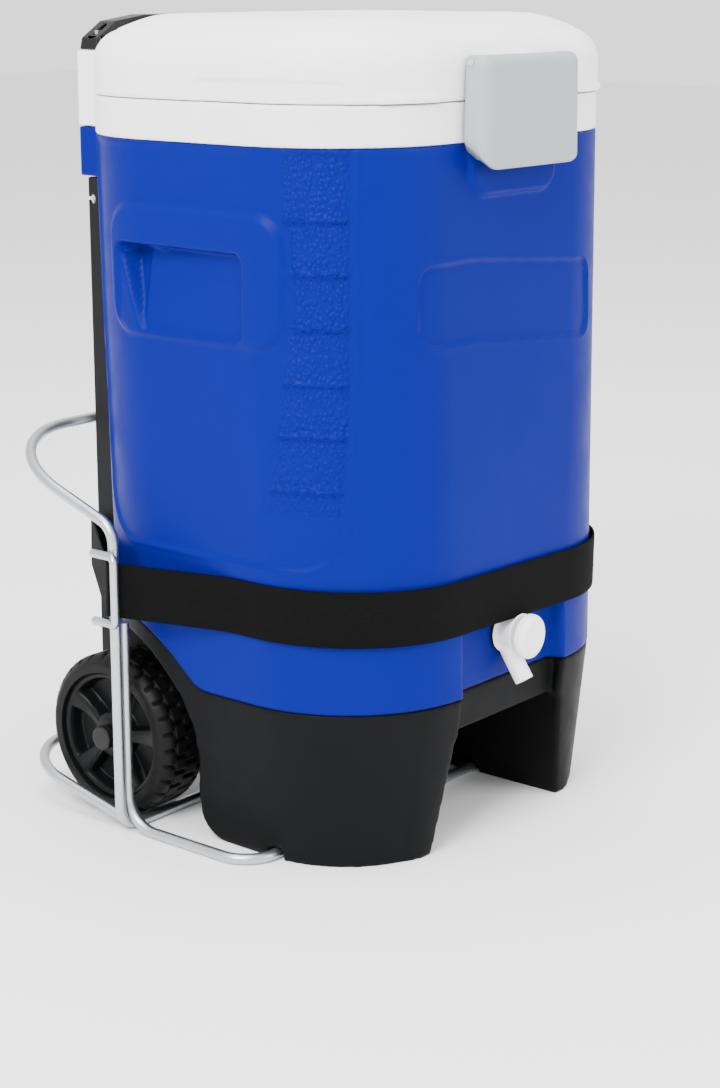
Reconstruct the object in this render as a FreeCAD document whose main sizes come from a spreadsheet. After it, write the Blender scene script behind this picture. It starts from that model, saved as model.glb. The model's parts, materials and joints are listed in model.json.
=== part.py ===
import FreeCAD, Part
import math
import os

import Sketcher

# Wheeled drinks cooler: an insulated drum with a hinged lid and a push-button spigot, on a black
# footed base with two wheels, a telescoping handle behind it, and a wire rack strapped round it.
# Millimetres, +Z up, the front (spigot and latch) faces -Y, the origin is on the floor at the
# middle of the whole object.

V = FreeCAD.Vector
X_AXIS, Y_AXIS, Z_AXIS = V(1, 0, 0), V(0, 1, 0), V(0, 0, 1)

DIMENSIONS = {
    # drum plan: half widths, and how far the front and the back reach from the origin
    "half_width": 160, "half_width_low": 157, "front_reach": 146, "front_reach_low": 157,
    "back_reach": 124, "corner_top": 88, "corner_low": 98,
    "foot_half_width": 147, "foot_front": 143, "foot_back": 118, "foot_corner": 80,
    # heights
    "skirt_top": 109, "arch_top": 153, "shell_top": 472, "seam": 498, "lid_edge": 530,
    "lid_slope": 543, "lid_top": 550, "lid_gap": 0.6,
    # walls and gaps between neighbouring mouldings
    "wall": 3, "fit_gap": 0.2, "snug": 0.04, "running": 0.06,
    # tank: insets from the drum's outside
    "tank_out": 24, "tank_in": 26.5, "tank_floor": 157, "sump_floor": 122, "sump_half": 90,
    "sump_front": 125, "sump_back": 30, "flange": 14, "flange_low": 494, "flange_top": 497.6,
    # front recess for the spigot and the cup space under it
    "recess_half": 58, "recess_face": 146, "recess_top": 184, "tunnel_half": 60, "tunnel_top": 82,
    # side hand grips
    "grip_front": 55, "grip_back": 58, "grip_low": 350, "grip_high": 405, "grip_floor": 141.5,
    # wheels and axle
    "axle_y": 78, "axle_z": 58, "axle_radius": 5, "wheel_radius": 58, "rim_radius": 46,
    "wheel_in": 116, "wheel_out": 160, "well_radius": 80, "arch_radius": 95, "well_x": 112,
    "bay_x": 109, "bay_front": 12,
    # telescoping handle
    "tube_x": 79.5, "tube_y": 149, "tube_radius": 8, "tube_bore": 6.8, "channel": 8.4,
    "tube_low": 110, "tube_top": 531, "column_in": 67, "column_out": 91, "column_back": 152.5,
    "housing_low": 60, "housing_top": 437.7, "guide_top": 524, "guide_back": 160,
    "block_low": 438, "handle_travel": 300, "pin_z": 122, "pin_radius": 3,
    "bar_y0": 142, "bar_y1": 158, "bar_low": 532, "bar_top": 547.5, "yoke_low": 533.6,
    "spring_seat": 162,
    # lid hinge and latch
    "hinge_y": 130, "hinge_z": 540, "hinge_pin": 2, "latch_y": 152.5, "latch_z": 522,
    "latch_half": 54, "latch_low": 456, "latch_top": 526.5, "latch_front": 165,
    # spigot
    "spigot_z": 141, "shank": 10, "spigot_bore": 6.5, "spigot_neck": 4.8, "spring_shoulder": 138,
    "button_radius": 15.3, "button_front": 173, "button_back": 166, "button_travel": 4,
    "bell_front": 161.7, "bell_radius": 14.5,
    # wire rack and strap
    "rod": 3.75, "rack_x": 179.5, "rack_y": 46, "upright_top": 203, "hoop_y": 169.25,
    "hoop_rise": 0.36, "hoop_corner": 76, "loop_x": 171.9, "loop_front": 67, "keeper_x": 188.3,
    "keeper_rod": 2.8, "tail_rise": 0.222, "keeper_reach": 13.5, "strap_width": 37,
    "strap_thick": 1.6, "strap_z": 171, "strap_tilt": 1.5,
}

doc = FreeCAD.newDocument("WheeledCooler")
sheet = doc.addObject("Spreadsheet::Sheet", "Dims")
for row, (alias, number) in enumerate(DIMENSIONS.items(), start=1):
    sheet.set(f"A{row}", alias)
    sheet.set(f"B{row}", str(number))
    sheet.setAlias(f"B{row}", alias)
doc.recompute()


class Size:
    """A length that knows both its number and the spreadsheet expression that gives it."""

    def __init__(self, number, text):
        self.number = number
        self.text = text

    def __add__(self, other):
        other = size_of(other)
        return Size(self.number + other.number, f"({self.text} + {other.text})")

    def __sub__(self, other):
        other = size_of(other)
        return Size(self.number - other.number, f"({self.text} - {other.text})")

    def __mul__(self, factor):
        factor = size_of(factor)
        return Size(self.number * factor.number, f"({self.text} * {factor.text})")

    def __truediv__(self, other):
        other = size_of(other)
        return Size(self.number / other.number, f"({self.text} / {other.text})")

    def __rsub__(self, other):
        return size_of(other) - self

    def __neg__(self):
        return Size(-self.number, f"(0 - {self.text})")

    def __float__(self):
        return float(self.number)

    __radd__ = __add__
    __rmul__ = __mul__


def size_of(value):
    return value if isinstance(value, Size) else Size(float(value), f"{float(value):g}")


class Sheet:
    """Reads a driving dimension by its alias: D.wall, D.axle_z and so on."""

    def __getattr__(self, alias):
        return Size(float(sheet.get(alias)), f"Dims.{alias}")


D = Sheet()
SUB_PARTS = []


def bind(thing, prop, size):
    thing.setExpression(prop, size_of(size).text)


def node(thing, name):
    """Marks a finished object as a sub-part; its Label names its file."""
    thing.Label = name
    SUB_PARTS.append(thing)
    return thing


def mm(*sizes):
    """The plain numbers of some sizes, as a vector when there are three."""
    numbers = [float(size_of(s)) for s in sizes]
    return V(*numbers) if len(numbers) == 3 else numbers


# ---------------------------------------------------------------- solids from Part primitives

def box(name, x0, x1, y0, y1, z0, z1):
    block = doc.addObject("Part::Box", name)
    lows = [size_of(v) for v in (x0, y0, z0)]
    highs = [size_of(v) for v in (x1, y1, z1)]
    for prop, low, high in zip(("Length", "Width", "Height"), lows, highs):
        bind(block, prop, high - low)
    for axis, low in zip("xyz", lows):
        bind(block, f"Placement.Base.{axis}", low)
    return block


def rod(name, axis, start, end, radius, across=(0, 0)):
    """A cylinder along X, Y or Z from start to end; across is its place on the other two axes."""
    turns = {
        "x": FreeCAD.Rotation(Y_AXIS, 90),
        "y": FreeCAD.Rotation(X_AXIS, -90),
        "z": FreeCAD.Rotation(),
    }
    bar = doc.addObject("Part::Cylinder", name)
    bar.Placement = FreeCAD.Placement(V(), turns[axis])
    bind(bar, "Radius", radius)
    bind(bar, "Height", size_of(end) - start)
    places = dict(zip([a for a in "xyz" if a != axis], across))
    places[axis] = start
    for a, place in places.items():
        bind(bar, f"Placement.Base.{a}", place)
    return bar


def fuse(name, *things):
    joined = doc.addObject("Part::MultiFuse", name)
    joined.Shapes = list(things)
    joined.Refine = True
    return joined


def cut(name, base, *tools):
    tool = tools[0] if len(tools) == 1 else fuse(name + "_tools", *tools)
    result = doc.addObject("Part::Cut", name)
    result.Base = base
    result.Tool = tool
    result.Refine = True
    return result


def common(name, first, second):
    result = doc.addObject("Part::Common", name)
    result.Base = first
    result.Tool = second
    return result


def mirrored(name, source):
    """The same piece on the other side of the X = 0 plane."""
    result = doc.addObject("Part::Mirroring", name)
    result.Source = source
    result.Base = V(0, 0, 0)
    result.Normal = X_AXIS
    return result


# ---------------------------------------------------------------- sketches and PartDesign bodies

def body(name):
    return doc.addObject("PartDesign::Body", name)


def sketch(owner, plane, name, at=(0, 0, 0)):
    """A sketch on one of its own body's origin planes, moved by at in that plane's own axes."""
    result = owner.newObject("Sketcher::SketchObject", f"{owner.Name}_{name}")
    support = next(f for f in owner.Origin.OriginFeatures if f.Role == plane)
    result.AttachmentSupport = [(support, "")]
    result.MapMode = "FlatFace"
    for axis, place in zip("xyz", at):
        bind(result, f"AttachmentOffset.Base.{axis}", place)
    return result


def constrain(target, kind, *args, size):
    index = target.addConstraint(Sketcher.Constraint(kind, *args, float(size_of(size))))
    target.setExpression(f"Constraints[{index}]", size_of(size).text)


def polygon(target, points):
    """A closed outline with every corner bound to the sheet."""
    corners = [mm(*p) for p in points]
    count = len(corners)
    for i in range(count):
        start, end = V(*corners[i], 0), V(*corners[(i + 1) % count], 0)
        target.addGeometry(Part.LineSegment(start, end))
    for i in range(count):
        target.addConstraint(Sketcher.Constraint("Coincident", i, 2, (i + 1) % count, 1))
    for i, (x, y) in enumerate(points):
        constrain(target, "DistanceX", -1, 1, i, 1, size=x)
        constrain(target, "DistanceY", -1, 1, i, 1, size=y)


def rounded_rectangle(target, width, depth, radius):
    """Four lines and four equal corner arcs, centred on the sketch's origin."""
    w, d, r = mm(width, depth)[0] / 2, mm(width, depth)[1] / 2, float(size_of(radius))
    centres = [(w - r, r - d), (w - r, d - r), (r - w, d - r), (r - w, r - d)]
    for i, (x, y) in enumerate(centres):
        turn = (i - 1) * math.pi / 2
        circle = Part.Circle(V(x, y, 0), Z_AXIS, r)
        target.addGeometry(Part.ArcOfCircle(circle, turn, turn + math.pi / 2))
    sides = [((w, r - d), (w, d - r)), ((w - r, d), (r - w, d)),
             ((-w, d - r), (-w, r - d)), ((r - w, -d), (w - r, -d))]
    for start, end in sides:
        target.addGeometry(Part.LineSegment(V(*start, 0), V(*end, 0)))
    for i in range(4):
        line, after = 4 + i, (i + 1) % 4
        target.addConstraint(Sketcher.Constraint("Tangent", i, 2, line, 1))
        target.addConstraint(Sketcher.Constraint("Tangent", line, 2, after, 1))
        target.addConstraint(Sketcher.Constraint("Vertical" if i % 2 == 0 else "Horizontal", line))
    for i in (1, 2, 3):
        target.addConstraint(Sketcher.Constraint("Equal", 0, i))
    target.addConstraint(Sketcher.Constraint("Symmetric", 0, 3, 2, 3, -1, 1))
    constrain(target, "Radius", 0, size=radius)
    constrain(target, "DistanceX", 6, 1, 4, 1, size=width)
    constrain(target, "DistanceY", 7, 1, 5, 1, size=depth)


def drum_plan(z, inset):
    """Width, depth, middle and corner radius of the drum's outline at height z, moved inwards."""
    rise = D.shell_top - D.skirt_top
    share = (size_of(z) - D.skirt_top) / rise if float(size_of(z)) < float(D.shell_top) else 1
    half = D.half_width_low + (D.half_width - D.half_width_low) * share - inset
    front = D.front_reach_low + (D.front_reach - D.front_reach_low) * share - inset
    back = D.back_reach - inset
    corner = D.corner_low + (D.corner_top - D.corner_low) * share - inset
    return half * 2, front + back, (back - front) / 2, corner


def foot_plan(inset):
    """The same for the base where it stands on the floor."""
    front, back = D.foot_front - inset, D.foot_back - inset
    return (D.foot_half_width - inset) * 2, front + back, (back - front) / 2, D.foot_corner - inset


def lofted(name, levels):
    """A body through outlines at rising heights: levels holds (z, plan)."""
    result = body(name)
    outlines = []
    for i, (z, (width, depth, middle, corner)) in enumerate(levels):
        outline = sketch(result, "XY_Plane", f"outline{i}", (0, middle, z))
        rounded_rectangle(outline, width, depth, corner)
        outlines.append(outline)
    loft = result.newObject("PartDesign::AdditiveLoft", f"{name}_loft")
    loft.Profile = outlines[0]
    loft.Sections = outlines[1:]
    loft.Ruled = True
    return result


def drum(name, *levels):
    """A drum-shaped body: each level is (z, inset)."""
    return lofted(name, [(z, drum_plan(z, inset)) for z, inset in levels])


def turned(name, axis, points, place=(0, 0, 0)):
    """A body of revolution about X or Y: points are (along the axis, radius)."""
    result = body(name)
    plane = "XY_Plane"
    profile = sketch(result, plane, "profile")
    polygon(profile, points if axis == "x" else [(radius, along) for along, radius in points])
    spin = result.newObject("PartDesign::Revolution", f"{name}_revolution")
    spin.Profile = profile
    spin.ReferenceAxis = (profile, ["H_Axis" if axis == "x" else "V_Axis"])
    spin.Angle = 360
    for a, value in zip("xyz", place):
        bind(result, f"Placement.Base.{a}", value)
    return result


def extruded(name, plane, points, start, length):
    """A straight-sided body: an outline on a plane, padded along that plane's own normal."""
    result = body(name)
    profile = sketch(result, plane, "profile", (0, 0, start))
    polygon(profile, points)
    pad = result.newObject("PartDesign::Pad", f"{name}_pad")
    pad.Profile = profile
    bind(pad, "Length", length)
    return result


# ---------------------------------------------------------------- bent wire

def bent_path(points, bends):
    """Straight runs joined by tangent arcs; bends holds a radius for each inner point."""
    edges, at = [], points[0]
    for before, corner, after, radius in zip(points, points[1:], points[2:], bends):
        back, ahead = (before - corner).normalize(), (after - corner).normalize()
        half = back.getAngle(ahead) / 2
        reach = radius / math.tan(half)
        first, last = corner + back * reach, corner + ahead * reach
        middle = (back + ahead).normalize() * (radius / math.sin(half) - radius) + corner
        if (first - at).Length > 1e-6:
            edges.append(Part.LineSegment(at, first).toShape())
        edges.append(Part.Arc(first, middle, last).toShape())
        at = last
    edges.append(Part.LineSegment(at, points[-1]).toShape())
    return Part.Wire(edges)


def wire_part(name, points, bends, radius):
    """A bent rod of round wire, with its sizes read from the sheet."""
    corners = [mm(*p) for p in points]
    path = bent_path(corners, [float(size_of(b)) for b in bends])
    start = Part.Circle(corners[0], corners[1] - corners[0], float(size_of(radius)))
    section = Part.Wire([start.toShape()])
    solid = path.makePipeShell([section], True, True, 1)
    result = doc.addObject("Part::Feature", name)
    result.Shape = solid
    return node(result, name)


def coil(name, radius, wire, turns, start, end):
    """A helical spring in round wire, wound round Z from height start to end."""
    result = body(name)
    section = sketch(result, "XZ_Plane", "section", (radius, size_of(start) + wire, 0))
    section.addGeometry(Part.Circle(V(), Z_AXIS, wire))
    section.addConstraint(Sketcher.Constraint("Coincident", 0, 3, -1, 1))
    constrain(section, "Radius", 0, size=wire)
    helix = result.newObject("PartDesign::AdditiveHelix", f"{name}_helix")
    helix.Profile = section
    helix.ReferenceAxis = (next(f for f in result.Origin.OriginFeatures if f.Role == "Z_Axis"), [""])
    helix.Mode = "height-turns-angle"
    helix.Turns = turns
    bind(helix, "Height", size_of(end) - start - 2 * wire)
    return result


# ================================================================ drum

def guide_column(name, z0, z1, y0, y1):
    """A block round one handle tube, on the right-hand side."""
    block = box(name + "_block", D.column_in, D.column_out, y0, y1, z0, z1)
    channel = rod(name + "_channel", "z", size_of(z0) - 1, size_of(z1) + 1, D.channel,
                  (D.tube_x, D.tube_y))
    return cut(name, block, channel)


def both_sides(name, piece):
    return [piece, mirrored(name + "_other", piece)]


def arch_room(name, margin):
    """The room over the wheels: round about the axle in front, carried on flat to the back."""
    radius, low, back = D.arch_radius + margin, size_of(-5), D.back_reach + 60
    crown, front = D.axle_z + radius, D.axle_y - radius
    result = body(name)
    outline = sketch(result, "YZ_Plane", "outline", (0, 0, -D.half_width - 20))
    start, top = mm(front, D.axle_z), mm(D.axle_y, crown)
    far, under, near = mm(back, crown), mm(back, low), mm(front, low)
    circle = Part.Circle(V(*mm(D.axle_y, D.axle_z), 0), Z_AXIS, float(radius))
    outline.addGeometry(Part.ArcOfCircle(circle, math.pi / 2, math.pi))
    for first, last in ((top, far), (far, under), (under, near), (near, start)):
        outline.addGeometry(Part.LineSegment(V(*first, 0), V(*last, 0)))
    for ends in ((1, 2, 2, 1), (2, 2, 3, 1), (3, 2, 4, 1)):
        outline.addConstraint(Sketcher.Constraint("Coincident", *ends))
    for ends in ((0, 1, 1, 1), (4, 2, 0, 2)):
        outline.addConstraint(Sketcher.Constraint("Tangent", *ends))
    constrain(outline, "DistanceX", -1, 1, 0, 3, size=D.axle_y)
    constrain(outline, "DistanceY", -1, 1, 0, 3, size=D.axle_z)
    constrain(outline, "Radius", 0, size=radius)
    for kind, line in (("Horizontal", 1), ("Vertical", 2), ("Horizontal", 3), ("Vertical", 4)):
        outline.addConstraint(Sketcher.Constraint(kind, line))
    constrain(outline, "DistanceX", -1, 1, 2, 1, size=back)
    constrain(outline, "DistanceY", -1, 1, 3, 1, size=low)
    pad = result.newObject("PartDesign::Pad", f"{name}_pad")
    pad.Profile = outline
    bind(pad, "Length", (D.half_width + 20) * 2)
    return result


def grip_box(name, margin, x1):
    return box(name, D.grip_floor - margin, x1, -D.grip_front - margin, D.grip_back + margin,
               D.grip_low - margin, D.grip_high + margin)


def body_shell():
    outer = drum("shell_outer", (D.skirt_top, 0), (D.shell_top, 0))
    inner = drum("shell_inner", (D.skirt_top, D.wall), (D.shell_top, D.wall))
    sleeve = cut("shell_sleeve", outer, inner)
    wall = D.wall
    pocket = box("recess_back", -D.recess_half - wall, D.recess_half + wall, -154.5,
                 wall - D.recess_face, D.skirt_top, D.recess_top + wall)
    grips = both_sides("grip_back", grip_box("grip_back_right", wall, D.half_width_low))
    blocks = both_sides("blue_block", guide_column("blue_block", D.block_low, D.shell_top,
                                                   D.back_reach - 1.5, D.guide_back))
    ridge = box("catch_ridge", -36, 36, -153.2, -145, 462, 468)
    boss = box("catch_boss", -45, 45, -150.4, -145, 440, 462)
    solid = fuse("shell_solid", sleeve, pocket, *grips, *blocks, ridge, boss)
    tools = [
        box("recess_room", -D.recess_half, D.recess_half, -D.front_reach_low - 20,
            -D.recess_face, D.skirt_top - 5, D.recess_top),
        rod("spigot_hole", "y", -D.recess_face - 1, wall - D.recess_face + 1, D.shank + 0.3,
            (0, D.spigot_z)),
        *both_sides("grip_room", grip_box("grip_room_right", 0, D.half_width + 20)),
        arch_room("shell_arch", 0.3),
    ]
    return node(cut("body_shell", solid, *tools), "body_shell")


def sump(name, grow, floor, top):
    """The deeper front part of the tank, which the spigot drains."""
    return box(name, -D.sump_half - grow, D.sump_half + grow, -D.sump_front - grow,
               grow - D.sump_back, floor, top)


def insulation_foam():
    gap, skin = D.fit_gap, D.wall + D.fit_gap
    low, high = D.skirt_top + gap, D.shell_top - gap
    outer = drum("foam_outer", (low, skin), (high, skin))
    tank = drum("foam_tank", (D.tank_floor - gap, D.tank_out - gap), (D.shell_top, D.tank_out - gap))
    reach = D.wall + gap
    tools = [
        tank,
        sump("foam_sump", gap, D.sump_floor - gap, D.tank_floor + 5),
        box("foam_recess", -D.recess_half - reach, D.recess_half + reach, -D.front_reach_low - 20,
            reach - D.recess_face, low - 5, D.recess_top + reach),
        *both_sides("foam_grip", grip_box("foam_grip_right", reach, D.half_width + 20)),
        arch_room("foam_arch", 0.6),
        rod("foam_shank", "y", -D.recess_face, -D.sump_front + 5, D.shank + 0.5, (0, D.spigot_z)),
    ]
    return node(cut("insulation_foam", outer, *tools), "insulation_foam")


def inner_liner():
    skin = D.tank_in - D.tank_out
    outer = drum("liner_outer", (D.tank_floor, D.tank_out), (D.shell_top, D.tank_out),
                 (D.flange_top, D.tank_out))
    flange = drum("liner_flange", (D.flange_low, D.flange), (D.flange_top, D.flange))
    well = sump("liner_sump", 0, D.sump_floor, D.tank_floor + 3)
    solid = fuse("liner_solid", outer, flange, well)
    inner = drum("liner_inner", (D.tank_floor + skin, D.tank_in), (D.shell_top, D.tank_in),
                 (D.seam + 5, D.tank_in))
    well_room = sump("liner_well_room", -skin, D.sump_floor + skin, D.tank_floor + 10)
    hole = rod("liner_hole", "y", -D.sump_front - 1, -D.sump_front + 5, D.shank + 0.3,
               (0, D.spigot_z))
    return node(cut("inner_liner", solid, inner, well_room, hole), "inner_liner")


def rim_collar():
    low, gap = D.shell_top + D.fit_gap, D.fit_gap
    ring = drum("collar_ring", (low, 0), (D.seam, 0))
    opening = drum("collar_opening", (low - 5, D.tank_out - gap), (D.seam + 5, D.tank_out - gap))
    rabbet = drum("collar_rabbet", (D.flange_low - gap, D.flange - gap),
                  (D.seam + 5, D.flange - gap))
    frame = cut("collar_frame", ring, opening, rabbet)
    guides = both_sides("white_guide", guide_column("white_guide", low, D.guide_top,
                                                    D.back_reach - 4, D.guide_back))
    ledge = box("hinge_ledge", -62, 62, D.back_reach - 6, D.hinge_y + 5, 480, D.seam)
    ears = both_sides("hinge_ear", box("hinge_ear_right", 36, 46, D.back_reach + 1.2,
                                       D.hinge_y + 5, D.seam - 2, D.hinge_z + 5))
    solid = fuse("collar_solid", frame, *guides, ledge, *ears)
    pin_hole = rod("collar_pin_hole", "x", -60, 60, D.hinge_pin + 0.02, (D.hinge_y, D.hinge_z))
    around_lid = size_of(0) - 1.1
    lid_room = drum("collar_lid_room", (D.seam, around_lid), (D.guide_top + 5, around_lid))
    return node(cut("rim_collar", solid, pin_hole, lid_room), "rim_collar")


# ================================================================ lid

def lid_shell():
    low, wall = D.seam + D.lid_gap, D.wall
    outer = drum("lid_outer", (low, 0), (D.lid_edge, 0), (D.lid_slope, 15), (D.lid_top, 45))
    inner = drum("lid_inner", (low - 1, wall), (D.lid_edge - wall, wall),
                 (D.lid_slope - wall, 18), (D.lid_top - wall, 45))
    knuckle = rod("lid_knuckle", "x", -34, 34, 4.8, (D.hinge_y, D.hinge_z))
    web = box("lid_web", -34, 34, D.back_reach - 8, D.hinge_y, D.hinge_z - 7, D.hinge_z + 1)
    latch_knuckle = rod("latch_knuckle", "x", -28, 28, 4.2, (-D.latch_y, D.latch_z))
    latch_web = box("latch_web", -28, 28, -D.latch_y, -D.front_reach + 1, D.latch_z - 4,
                    D.latch_z + 4)
    hollow = cut("lid_hollow", outer, inner)
    solid = fuse("lid_solid", hollow, knuckle, web, latch_knuckle, latch_web)
    hinge_hole = rod("lid_hinge_hole", "x", -40, 40, D.hinge_pin + D.running,
                     (D.hinge_y, D.hinge_z))
    latch_hole = rod("lid_latch_hole", "x", -40, 40, D.hinge_pin + 0.02, (-D.latch_y, D.latch_z))
    return node(cut("lid_shell", solid, hinge_hole, latch_hole), "lid_shell")


PAN_INSET, PAN_WALL, PAN_FLOOR, PLATE_LOW, PLATE_TOP = 30, 2.5, 488, 501, 503.5


def lid_liner():
    plate = drum("liner_plate", (PLATE_LOW, D.wall + D.fit_gap), (PLATE_TOP, D.wall + D.fit_gap))
    pan = drum("lid_pan", (PAN_FLOOR, PAN_INSET), (PLATE_LOW + 1, PAN_INSET))
    room = drum("lid_pan_room", (PAN_FLOOR + PAN_WALL, PAN_INSET + PAN_WALL),
                (PLATE_TOP + 1, PAN_INSET + PAN_WALL))
    return node(cut("lid_liner", fuse("lid_liner_solid", plate, pan), room), "lid_liner")


def lid_foam():
    gap = D.fit_gap
    fill = drum("foam_fill", (PAN_FLOOR + PAN_WALL + gap, PAN_INSET + PAN_WALL + gap),
                (PLATE_TOP + 1, PAN_INSET + PAN_WALL + gap))
    skin = D.wall + gap
    top = drum("foam_top", (PLATE_TOP + gap, skin), (D.lid_edge - skin, skin),
               (D.lid_slope - skin, 18 + gap), (D.lid_top - skin, 45 + gap))
    return node(fuse("lid_foam", fill, top), "lid_foam")


def lid_gasket():
    low, high = D.seam + 0.3, size_of(500.8)
    outer = drum("gasket_outer", (low, 16), (high, 16))
    inner = drum("gasket_inner", (low - 1, 22), (high + 1, 22))
    return node(cut("lid_gasket", outer, inner), "lid_gasket")


def lid_latch():
    front, half = -D.latch_front, D.latch_half
    plate = box("latch_plate", -half, half, front, front + 3, D.latch_low, D.latch_top)
    top = box("latch_roof", -half, half, front, -D.latch_y - 6, D.latch_top - 3, D.latch_top)
    cheeks = both_sides("latch_cheek", box("latch_cheek_right", half - 3, half, front,
                                           4 - D.latch_y, D.latch_low, D.latch_top))
    hook = box("latch_hook", -30, 30, front, -1 - D.latch_y, D.latch_low, D.latch_low + 3.5)
    solid = fuse("latch_solid", plate, top, *cheeks, hook)
    hole = rod("latch_hole", "x", -half - 5, half + 5, D.hinge_pin + D.running,
               (-D.latch_y, D.latch_z))
    return node(cut("lid_latch", solid, hole), "lid_latch")


def pins():
    node(rod("hinge_pin", "x", -46, 46, D.hinge_pin, (D.hinge_y, D.hinge_z)), "hinge_pin")
    node(rod("latch_pin", "x", -53, 53, D.hinge_pin, (-D.latch_y, D.latch_z)), "latch_pin")


# ================================================================ base

def base_skirt():
    wall, half = D.wall, D.half_width
    outer = lofted("base_outer", [
        (0, foot_plan(0)),
        (D.skirt_top, drum_plan(D.skirt_top, 0)),
        (D.arch_top + 10, drum_plan(D.skirt_top, 0)),
    ])
    trim = cut("base_trim", box("base_trim_block", -175, 175, -200, 175, D.skirt_top, 200),
               arch_room("base_arch", 0))
    hollow_all = lofted("base_hollow", [
        (11.5, foot_plan(5)),
        (D.skirt_top - wall, drum_plan(D.skirt_top, 5)),
    ])
    front_only = box("base_front_only", -200, 200, -200, -D.bay_front - wall, 0, 200)
    hollow = common("base_front_hollow", hollow_all, front_only)
    setback = box("base_setback", -D.recess_half, D.recess_half, -200, -D.recess_face, -1,
                  D.skirt_top + 1)
    cleared = cut("base_cleared", outer, trim, hollow, setback)
    slab = box("foot_wall_slab", D.tunnel_half, D.tunnel_half + wall, -200, -D.bay_front, 0,
               D.skirt_top)
    feet = both_sides("foot_wall", common("foot_wall_right", slab, outer))
    beam = box("front_beam", -D.tunnel_half, D.tunnel_half, -D.recess_face,
               wall - D.recess_face, D.tunnel_top, D.skirt_top)
    solid = fuse("base_solid", cleared, *feet, beam)
    well, bay, axle = D.well_x, D.bay_x, (D.axle_y, D.axle_z)
    right_well = [
        rod("well_round", "x", well, half + 20, D.well_radius, axle),
        box("well_rear", well, half + 20, D.axle_y, 250, -1, D.axle_z + D.well_radius),
    ]
    wells = right_well + [mirrored(w.Name + "_other", w) for w in right_well]
    tools = [
        box("tunnel", -D.tunnel_half, D.tunnel_half, -250, -D.bay_front - 5, -1, D.tunnel_top),
        box("under_tail", -200, 200, 0, 250, -1, 22),
        box("behind_foot", D.tunnel_half + wall, 200, 0, D.axle_y, -1, 45),
        box("behind_foot_other", -200, -D.tunnel_half - wall, 0, D.axle_y, -1, 45),
        box("bay_front_room", -bay, bay, -D.bay_front, D.axle_y, -1, D.skirt_top - wall),
        rod("bay_round", "x", -bay, bay, D.arch_radius - wall, axle),
        box("bay_rear", -bay, bay, D.axle_y, D.back_reach - wall, -1, D.arch_top - wall),
        rod("axle_bore", "x", -170, 170, D.axle_radius + D.snug, axle),
        box("rack_groove", -200, 200, -D.loop_front - 5.5, -D.loop_front + 5.5, -1, 8.3),
        *wells,
    ]
    return node(cut("base_skirt", solid, *tools), "base_skirt")


def fasteners():
    """Screws up through the base into the shell, and through the housing into the drum's back."""
    spots = [(x, y) for x in (-80, 80) for y in (-110, -40)]
    heads = [rod(f"base_screw_head{i}", "z", D.skirt_top - D.wall - 2.2,
                 D.skirt_top - D.wall, 4, spot) for i, spot in enumerate(spots)]
    node(fuse("base_screws", *heads), "base_screws")
    rear = [rod(f"housing_screw_head{i}", "y", D.back_reach + 5, D.back_reach + 7.2, 4, (x, z))
            for i, (x, z) in enumerate((x, z) for x in (-50, 50) for z in (200, 400))]
    node(fuse("housing_screws", *rear), "housing_screws")


# ================================================================ wheels

def wheel(side):
    """Hub and tyre, drawn in their own frame with the axle along X, then set on the axle."""
    sign = -1 if side == "left" else 1
    inside, outside = D.wheel_in * sign, D.wheel_out * sign
    rim, bore = D.rim_radius, D.axle_radius + D.running
    hub_profile = [
        (inside + sign * 0.5, bore), (outside - sign * 2, bore), (outside - sign * 2, 11),
        (outside - sign * 8, 13), (outside - sign * 8, rim - 5), (outside - sign * 2, rim - 4),
        (outside - sign * 2, rim), (inside + sign * 2, rim), (inside + sign * 2, rim - 4),
        (outside - sign * 12, rim - 5), (outside - sign * 12, 13), (inside + sign * 0.5, 11),
    ]
    hub = turned(f"wheel_hub_{side}", "x", hub_profile, (0, D.axle_y, D.axle_z))
    doc.recompute()
    window = sketch(hub, "YZ_Plane", "window", (0, 0, outside - sign * 16))
    polygon(window, [(-5, 18), (5, 18), (14, 36), (-14, 36)])
    pocket = hub.newObject("PartDesign::Pocket", f"hub_window_{side}")
    pocket.Profile = window
    bind(pocket, "Length", 14)
    pocket.Reversed = sign > 0
    pattern = hub.newObject("PartDesign::PolarPattern", f"hub_windows_{side}")
    pattern.Originals = [pocket]
    pattern.Axis = (next(f for f in hub.Origin.OriginFeatures if f.Role == "X_Axis"), [""])
    pattern.Angle = 360
    pattern.Occurrences = 5
    hub.Tip = pattern
    node(hub, f"wheel_hub_{side}")
    crown = D.wheel_radius
    tyre_profile = [
        (inside, rim), (outside, rim), (outside, crown - 5), (outside - sign * 4, crown),
        (inside + sign * 4, crown), (inside, crown - 5),
    ]
    node(turned(f"tyre_{side}", "x", tyre_profile, (0, D.axle_y, D.axle_z)), f"tyre_{side}")


def axle_parts():
    end = D.wheel_out + 3
    across = (D.axle_y, D.axle_z)
    node(rod("axle", "x", -end, end, D.axle_radius, across), "axle")
    caps, washers = [], []
    for side, sign in (("left", -1), ("right", 1)):
        low, high = sorted((float(D.wheel_out + 0.4) * sign, float(D.wheel_out + 6) * sign))
        cap = rod(f"cap_{side}", "x", low, high, 8.5, across)
        caps.append(cut(f"cap_cup_{side}", cap, rod(f"cap_bore_{side}", "x", -end, end,
                                                    D.axle_radius + D.snug, across)))
        low, high = sorted((float(D.well_x + 0.2) * sign, float(D.wheel_in - 0.2) * sign))
        disc = rod(f"washer_disc_{side}", "x", low, high, 11, across)
        washers.append(cut(f"washer_{side}", disc, rod(f"washer_bore_{side}", "x", -end, end,
                                                       D.axle_radius + D.snug, across)))
    node(fuse("axle_caps", *caps), "axle_caps")
    node(fuse("axle_washers", *washers), "axle_washers")


# ================================================================ telescoping handle

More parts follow.
